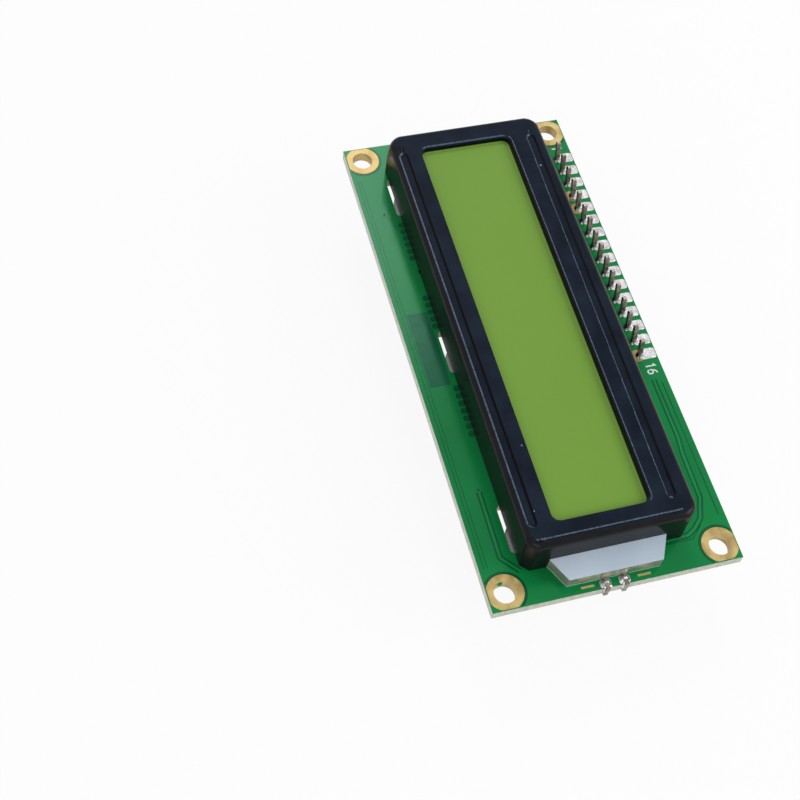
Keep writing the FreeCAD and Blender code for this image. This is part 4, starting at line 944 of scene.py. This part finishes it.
# %% Marks on the display side
hole_clearings = [arc(37.5, 15.5, 2.82, 127, 323, 30) * (x, y) for x in (-1, 1) for y in (-1, 1)]
dives = [[(22.2, -14.55), (25.0, -14.57), (32.6, -14.66), (35.0, -12.6)],
         [(10.6, 15.95), (20.4, 15.95), (23.0, 15.63), (30.1, 15.49), (33.2, 14.3), (34.5, 12.9),
          (35.2, 11.7), (35.4, 8.0)]]
scallops = [(x, -12.85) for first, last in ((-24.0, -17.2), (-10.1, -4.0), (5.9, 13.7))
            for x in np.arange(first, last, 1.27)]
gaps = lines(hole_clearings, 0.4, FRONT_FACE, GAP)
gaps += lines([[(-33.6, y), (33.6, y)] for y in (-17.25, -16.75)], 0.1, FRONT_FACE, GAP)
gaps += lines(dives, 0.86, FRONT_FACE, GAP)
gaps += lines([[(11.2, 17.05), (33.2, 17.05)]], 0.16, FRONT_FACE, GAP)
gaps += lines([[(35.9, 8.2), (35.85, 12.2), (34.2, 13.9)]], 0.14, FRONT_FACE, GAP)
gaps += discs(scallops, 0.52, FRONT_FACE, GAP, 14)
make_piece("front_gaps", gaps, gap_finish)
label = plates([block(-1.3, -14.95, 6.4, 1.55)], FRONT_FACE, GAP)
make_piece("label_place", label, bare_finish)
copper = lines(dives, 0.36, FRONT_FACE, COPPER)
copper += lines([arc(x, y, 0.6, 195, 345, 9) for x, y in scallops], 0.09, FRONT_FACE, COPPER)
front_vias = [(22.2, -14.55), (36.0, -15.9), (-33.4, 11.9), (33.6, -9.9), (-26.5, -14.9)]
rings, hole_shades = vias(front_vias, FRONT_FACE, 0.46, 0.18)
make_piece("front_copper", copper + rings, field_finish)
pads = blocks([(39.25, -4.45), (39.25, 3.65)], 0.16, 0.95, FRONT_FACE)
pads += discs([(PIN_X[pin] + 0.1, ROW_Y - 0.5) for pin in (3, 4, 15)], 1.02, FRONT_FACE, steps=22)
make_piece("front_pads", pads, gold_finish)
# Dark discs round the foot of every pin: painted shade of the pins' holes
hole_shades += discs([(pin_x + 0.05, ROW_Y - 0.2) for pin_x in PIN_X], 0.56, FRONT_FACE, PAD + 4 * HAIR, 18)
make_piece("front_hole_shades", hole_shades, hole_shade_finish)
prints = numeral("1", -34.15, 15.9, 1.5, FRONT_FACE) + numeral("16", 8.2, 16.3, 1.45, FRONT_FACE)
make_piece("front_print", prints, print_finish)

# %% [markdown]
# ### The back of the main board
# Here the pattern is busy. Around the two resin domes the copper is cut back to fine parallel traces
# on bare fibre; outside them are broad fields of copper, parted by long gaps. Gold pads lie beside
# the slots, where the frame's twisted tabs touch them.

# %% Fields, traces and holes on the back
fields = plates([
    [(-22.6, 3.0), (-22.6, -5.0), (-19.0, -12.6), (-4.3, -12.6), (-4.3, -8.8), (1.6, 3.0)],
    [(-4.4, 3.2), (-4.4, -8.8), (3.7, -8.8), (5.0, -12.9), (12.4, -12.9), (13.2, -11.0), (12.0, -9.9),
     (12.0, 3.2)],
    [(11.9, 8.6), (11.9, -9.9), (20.2, -9.9), (23.9, -8.4), (24.2, 2.0), (24.2, 8.6)],
    [(5.0, 9.2), (5.0, 3.1), (12.0, 3.1), (12.0, 9.2)],
    [(19.6, -9.8), (21.0, -13.0), (23.9, -13.0), (23.9, -8.3)]], BACK_FACE, 4 * HAIR)
copper = bundles([
    ([(-6.0, 0.1), (1.4, -0.8), (3.2, -1.9), (8.6, -7.8), (18.6, -8.3), (20.4, -6.8)], 9, 0.36, 0.14),
    ([(22.6, 6.2), (23.3, 2.4), (20.4, -1.2), (19.1, -3.8), (16.6, -5.0)], 7, 0.33, 0.13),
    ([(6.2, 7.5), (13.4, 7.7), (14.6, 6.3)], 7, 0.33, 0.13),
    ([(2.6, 1.75), (8.4, 1.7)], 8, 0.42, 0.14),
    ([(-16.4, -5.4), (-18.2, -7.2), (-19.6, -10.4), (-22.5, -12.0)], 8, 0.36, 0.13),
    ([(-10.6, -6.4), (-9.2, -8.6), (-7.4, -10.4)], 6, 0.4, 0.13),
    ([(-19.2, 1.6), (-21.4, 3.0), (-26.8, 3.2)], 6, 0.36, 0.13)], BACK_FACE)
fan = [(5.4 + 1.28 * index, -12.5) for index in range(7)]
copper += lines([[(4.2 + 0.72 * index, -9.2 - 0.05 * index), (x - 1.1, -11.6), (x, y)]
                 for index, (x, y) in enumerate(fan)], 0.16, BACK_FACE, COPPER)
lower = [(21.6, -2.0), (22.2, -2.7), (23.2, -3.6), (22.3, -4.2), (23.1, -4.9), (22.2, -5.7), (23.2, -6.4),
         (22.1, -7.1), (23.1, -7.8), (22.2, -8.5)]
copper += lines([[(19.4, -5.7 - 0.34 * index), (x - 0.7, y - 0.15), (x, y)]
                 for index, (x, y) in enumerate(lower)], 0.13, BACK_FACE, COPPER)
back_vias = [(-19.5, -4.7), (-19.4, -6.1), (-18.6, -6.8), (-19.4, -7.4), (-13.6, -8.0), (-11.5, -7.8),
             (-10.7, -8.2), (-9.8, -8.6), (-9.7, -12.4), (-8.5, -12.4), (-7.2, -12.5), (-5.9, -12.5),
             (-4.7, -8.9), (-5.6, -3.8), (-5.8, -5.3), (-4.7, -4.6), (1.0, -4.5), (1.7, -3.8), (2.3, -4.7),
             (3.1, -4.0), (3.8, -4.7), (20.7, -12.5), (22.0, -12.5), (23.3, -12.5), (22.2, -14.5),
             (21.5, 6.0), (22.3, 5.4), (21.6, 4.6), (22.2, 3.8), (17.4, 7.2), (16.6, 7.6), (19.4, 5.6)]
rings, hole_shades = vias(back_vias + lower + fan, BACK_FACE, 0.36, 0.15)
islands = plates([
    [(12.6, -10.0), (18.6, -9.9), (20.2, -11.5), (19.5, -13.0), (14.2, -13.0), (13.5, -11.3)],
    [(19.3, 6.6), (18.9, 4.4), (19.5, 1.4), (20.4, 2.2), (20.9, 4.6), (20.4, 6.4)]], BACK_FACE, COPPER)
gaps = lines(hole_clearings, 0.4, BACK_FACE, GAP)
gaps += lines([
    [(-33.0, -13.5), (-1.4, -13.5), (21.4, -14.2)], [(-33.6, -17.1), (33.6, -17.1)],
    [(-33.6, -15.8), (22.7, -16.0), (24.6, -14.2), (24.6, -0.7)], [(-35.2, -12.6), (-35.2, 12.4)],
    [(25.1, 3.0), (25.1, -11.8), (33.2, -11.8)], [(24.6, 6.9), (34.6, 6.9), (34.6, 12.6)],
    [(10.4, 14.6), (33.4, 14.9)], [(-33.0, 7.9), (-25.0, 7.9)]], 0.28, BACK_FACE, GAP)
make_piece("back_fields", fields, bare_finish)
make_piece("back_gaps", gaps, gap_finish)
make_piece("back_copper", copper + rings + islands, copper_finish)
make_piece("back_hole_shades", hole_shades, hole_shade_finish)

# %% Bare pads and print on the back
SQUARE_PADS, ROUND_PADS = [(38.35, 3.55), (38.35, -4.5)], [(35.93, 0.75), (35.91, -1.81)]
pads = blocks([(x, y) for x in SLOTS_X for y in (-10.35, 9.45)], 3.55, 1.25, BACK_FACE)
pads += blocks([(x, y) for y in (-2.8, -6.2) for x in (27.6, 31.1)], 0.78, 0.95, BACK_FACE)
pads += blocks([(-23.7, -6.1), (-21.65, -6.2)], 0.7, 0.8, BACK_FACE)
pads += blocks([(x, 3.7 - 1.28 * step) for step in range(4) for x in (26.1, 32.0)], 0.95, 0.3, BACK_FACE,
               0.28)
pads += lines([arc(x, y, 0.45, turn, turn + 150, 10) for x, y in JUMPERS[:2] for turn in (15, 195)], 0.66,
              BACK_FACE, PAD)
pads += blocks(SQUARE_PADS, 1.05, 1.05, BACK_FACE) + discs(ROUND_PADS, 0.9, BACK_FACE, steps=24)
# Dark discs in the pads' holes: painted shade
pad_hole_shades = discs(SQUARE_PADS + ROUND_PADS, 0.42, BACK_FACE, PAD + 4 * HAIR, 16)
prints = []
for y in (-2.8, -6.2):
    prints += lines([block(29.4, y, 3.1, 1.4)], 0.22, BACK_FACE, closed=True)
    prints += lines([[(26.5, y - 1.4), (26.5, y + 1.4)]], 0.36, BACK_FACE, PRINT + HAIR)
    prints += plus_sign(24.75, y - 0.1, BACK_FACE)
prints += lines([[(27.7, -0.85), (30.4, -0.85), (30.4, 4.42), (29.5, 4.42), (29.3, 3.9), (28.8, 3.9),
                  (28.6, 4.42), (27.7, 4.42)], block(-22.7, -4.9, 2.5, 2.45)], 0.2, BACK_FACE, closed=True)
prints += lines([circle(x, y, 1.1, 26) for x, y in JUMPERS], 0.16, BACK_FACE, closed=True)
chip_places = [(-31.1, -6.3 + 2.28 * step) for step in range(4)] + [(-23.0, -3.7), (19.57, 12.8)]
for x, y in chip_places:
    prints += brackets(x, y, 2.35, 1.1, BACK_FACE)
prints += numeral("16", 9.4, 16.1, 1.5, BACK_FACE, -1.0) + numeral("1", -34.4, 15.9, 1.5, BACK_FACE, -1.0)
make_piece("back_pads", pads, pad_finish)
make_piece("back_print", prints, print_finish)
make_piece("pad_hole_shades", pad_hole_shades, hole_shade_finish)

# %% Solder at the ends of the chips on the back
ends = []
for index, (x, y) in enumerate(chip_places):
    ends += end_joints(x, y, 1.2, 0.0, BACK_Z, (0.42, 0.66, 0.34, 0.12), index, -1.0)
make_piece("chip_solder", ends, solder_finish, crease=SOFT)

# %% [markdown]
# ### The small board's outer face
# It carries more print than copper: a box round the soldered row, frames round the trimmer and every
# chip, and three pairs of address pads. Under each foot of the wide chip is a long silver pad.

# %% Marks on the small board
prints, silver = [], []
for path, width in (([(-1.45, 1.42), (39.4, 1.42)], 0.2), ([(-1.5, -1.14), (39.5, -1.14)], 0.14),
                    ([(-1.5, -0.9), (39.5, -0.9)], 0.1), ([(15.2, 2.95), (22.6, 2.95)], 0.16),
                    ([(14.4, 13.45), (23.35, 13.45), (23.35, 2.9)], 0.2)):
    prints += lines([path], width, SMALL_FACE)
prints += lines([block(TRIMMER[0], 6.55, 3.75, 3.85)], 0.2, SMALL_FACE, closed=True)
WIDE_X, WIDE_Y, FOOT_PITCH = 18.9, 7.8, 1.27
for step in range(8):
    y = WIDE_Y + (step - 3.5) * FOOT_PITCH
    silver += blocks([(WIDE_X - 5.35, y), (WIDE_X + 5.35, y)], 0.95, 0.27, SMALL_FACE, 0.25)
    silver += end_joints(WIDE_X, y, 5.75, 0.0, OUTER_Z, (0.42, 0.3, 0.26, 0.06), step)
    silver += end_joints(WIDE_X, y, 4.85, 0.0, OUTER_Z, (0.36, 0.28, 0.3, 0.06), step + 3)
CAPACITOR = (27.8, 5.6)
upright = [(27.8, 10.45), (30.3, 5.6), (30.3, 10.45), CAPACITOR, (32.5, 10.45)]
for index, (x, y) in enumerate(upright):
    if (x, y) == CAPACITOR:
        oval = np.vstack([arc(x, y - 1.15, 1.05, 180, 360, 9), arc(x, y + 1.15, 1.05, 0, 180, 9)])
        prints += lines([oval], 0.16, SMALL_FACE, closed=True)
    else:
        prints += brackets(x, y, 1.02, 2.2, SMALL_FACE)
    silver += end_joints(x, y, 0.0, 1.25, OUTER_Z, (0.68, 0.5, 0.36, 0.1), index)
level_x = [19.4 + 4.5 * step for step in range(3)]
for index, x in enumerate(level_x):
    prints += brackets(x, 15.1, 2.15, 1.02, SMALL_FACE)
    silver += end_joints(x, 15.1, 1.25, 0.0, OUTER_Z, (0.5, 0.68, 0.36, 0.1), index)
lamp_frame = np.vstack([[(34.2, 12.95), (34.2, 9.0)], arc(35.2, 9.0, 1.0, 180, 360, 11),
                        [(36.2, 9.0), (36.2, 12.95)]])
prints += lines([lamp_frame], 0.17, SMALL_FACE, closed=True)
silver += end_joints(35.2, 10.45, 0.0, 1.85, OUTER_Z, (0.66, 0.55, 0.3, 0.1), 4)
prints += plus_sign(36.15, 14.2, SMALL_FACE, 0.6)
for x in (4.6, 7.05, 9.6):
    prints += lines([block(x, 14.5, 0.85, 1.75)], 0.16, SMALL_FACE, closed=True)
    silver += blocks([(x, 13.7)], 0.5, 0.5, SMALL_FACE) + discs([(x, 15.3)], 0.55, SMALL_FACE, steps=18)
prints += brackets(38.1, 6.7, 1.45, 2.75, SMALL_FACE)
copper = bundles([
    ([(11.6, 12.0), (13.2, 10.6), (13.2, 8.0)], 3, 0.45, 0.18),
    ([(12.0, 16.2), (14.6, 16.4), (17.2, 16.4)], 2, 0.5, 0.2),
    ([(24.9, 12.3), (25.8, 13.2), (25.8, 16.3)], 3, 0.42, 0.18),
    ([(25.1, 3.4), (26.0, 2.6), (33.0, 2.6), (35.4, 4.8)], 2, 0.5, 0.2),
    ([(1.2, 12.6), (2.6, 14.0), (2.6, 16.4)], 3, 0.45, 0.18)], SMALL_FACE)
small_vias = [(38.2, 15.8), (-0.9, 16.5), (12.3, 3.6), (25.3, 15.6), (33.3, 15.9), (33.6, 3.7), (2.0, 2.4)]
rings, hole_shades = vias(small_vias, SMALL_FACE, 0.4, 0.18)
make_piece("small_print", leaning(prints), print_finish)
make_piece("small_pads", leaning(silver), solder_finish, crease=60.0)
make_piece("small_copper", leaning(copper + rings), black_copper)
make_piece("small_hole_shades", leaning(hole_shades), hole_shade_finish)

# %% [markdown]
# ### Marks on the trimmer and the chips
# Short dark strokes stand round the trimmer's rotor over three quarters of a turn, and each chip
# resistor has a pale stroke on its black glaze.

# %% Strokes on the trimmer and the chips
TRIMMER_FACE = (OUTER_Z + 4.8, 1.0)
ways = [np.array([math.cos(angle), math.sin(angle)]) for angle in np.radians(np.linspace(-45.0, 225.0, 11))]
ticks = lines([[TRIMMER + 1.95 * way, TRIMMER + 2.85 * way] for way in ways], 0.24, TRIMMER_FACE, 0.012)
make_piece("trimmer_ticks", leaning(ticks), tick_finish)
strokes = [[(x - 0.2, y), (x + 0.2, y)] for x, y in upright if (x, y) != CAPACITOR]
strokes += [[(x, 14.9), (x, 15.3)] for x in level_x]
bars = leaning(lines(strokes, 0.14, (OUTER_Z + 0.5, 1.0), 0.01))
bars += lines([[(x, y - 0.22), (x, y + 0.22)] for x, y in chip_places], 0.14, (BACK_Z - 0.5, -1.0), 0.01)
make_piece("chip_marks", bars, print_finish)

# %% [markdown]
# ## Stage and light
# The picture has a plain white ground. The floor is pale and takes the shadow; the world is white
# for the camera, for gloss and for glass, and plain for the light itself. One lamp stands where the
# glossy mask mirrors it near the far corner, others fill, and one lights the back through the floor,
# which can't be seen from below.


# %% Floor, world and lamps
def seen_directly(tree):
    """Return a socket that is 1 for camera, glossy and transmission rays."""
    path = add_node(tree, "LightPath", {})
    direct = calculated(tree, "MAXIMUM", path.outputs["Is Camera Ray"], path.outputs["Is Glossy Ray"])
    return calculated(tree, "MAXIMUM", direct, path.outputs["Is Transmission Ray"])


world = bpy.data.worlds.new("studio")
world.use_nodes = True
bpy.context.scene.world = world
tree = world.node_tree
background = next(node for node in tree.nodes if node.type == "BACKGROUND")
strength = add_node(tree, "MapRange", {"Value": seen_directly(tree), "To Min": 0.5, "To Max": 1.0})
feed(tree, background, {"Color": WHITE, "Strength": strength.outputs["Result"]})

floor_mesh = bpy.data.meshes.new("floor")
reach = 1.5
floor_z = (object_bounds()[0].z - 0.4 * MM)
floor_mesh.from_pydata([(-reach, -reach, floor_z), (reach, -reach, floor_z), (reach, reach, floor_z),
                        (-reach, reach, floor_z)], [], [(0, 1, 2, 3)])
floor = bpy.data.objects.new("floor", floor_mesh)
bpy.context.scene.collection.objects.link(floor)
floor_material = bpy.data.materials.new("pale_floor")
floor_material.use_nodes = True
tree = floor_material.node_tree
floor_shader = shader_of(floor_material)
feed(tree, floor_shader, {"Base Color": (0.92, 0.92, 0.92, 1.0), "Roughness": 0.9})
glow = add_node(tree, "Emission", {"Color": WHITE}).outputs["Emission"]
share = calculated(tree, "MULTIPLY", seen_directly(tree), 0.9)
lit = add_node(tree, "MixShader", {"Fac": share, 1: floor_shader.outputs["BSDF"], 2: glow})
from_below = calculated(tree, "MAXIMUM", add_node(tree, "NewGeometry", {}).outputs["Backfacing"],
                        add_node(tree, "LightPath", {}).outputs["Is Shadow Ray"])
clear = add_node(tree, "BsdfTransparent", {}).outputs["BSDF"]
opened = add_node(tree, "MixShader", {"Fac": from_below, 1: lit.outputs["Shader"], 2: clear})
output = next(node for node in tree.nodes if node.type == "OUTPUT_MATERIAL")
feed(tree, output, {"Surface": opened.outputs["Shader"]})
floor.data.materials.append(floor_material)


def soft_lamp(name, place, size, power):
    """Add a square soft lamp at a place in metres, facing the origin."""
    data = bpy.data.lights.new(name, "AREA")
    data.size = size
    data.energy = power
    lamp = bpy.data.objects.new(name, data)
    bpy.context.scene.collection.objects.link(lamp)
    lamp.location = place
    lamp.rotation_euler = (-Vector(place)).to_track_quat("-Z", "Y").to_euler()


soft_lamp("far_lamp", (-0.46, 0.08, 0.53), 0.22, 0.9)
soft_lamp("side_lamp", (0.25, 0.55, 0.4), 0.4, 2.0)
soft_lamp("near_lamp", (0.5, -0.35, 0.35), 0.4, 1.0)
soft_lamp("under_lamp", (0.1, -0.25, -0.6), 0.6, 2.0)
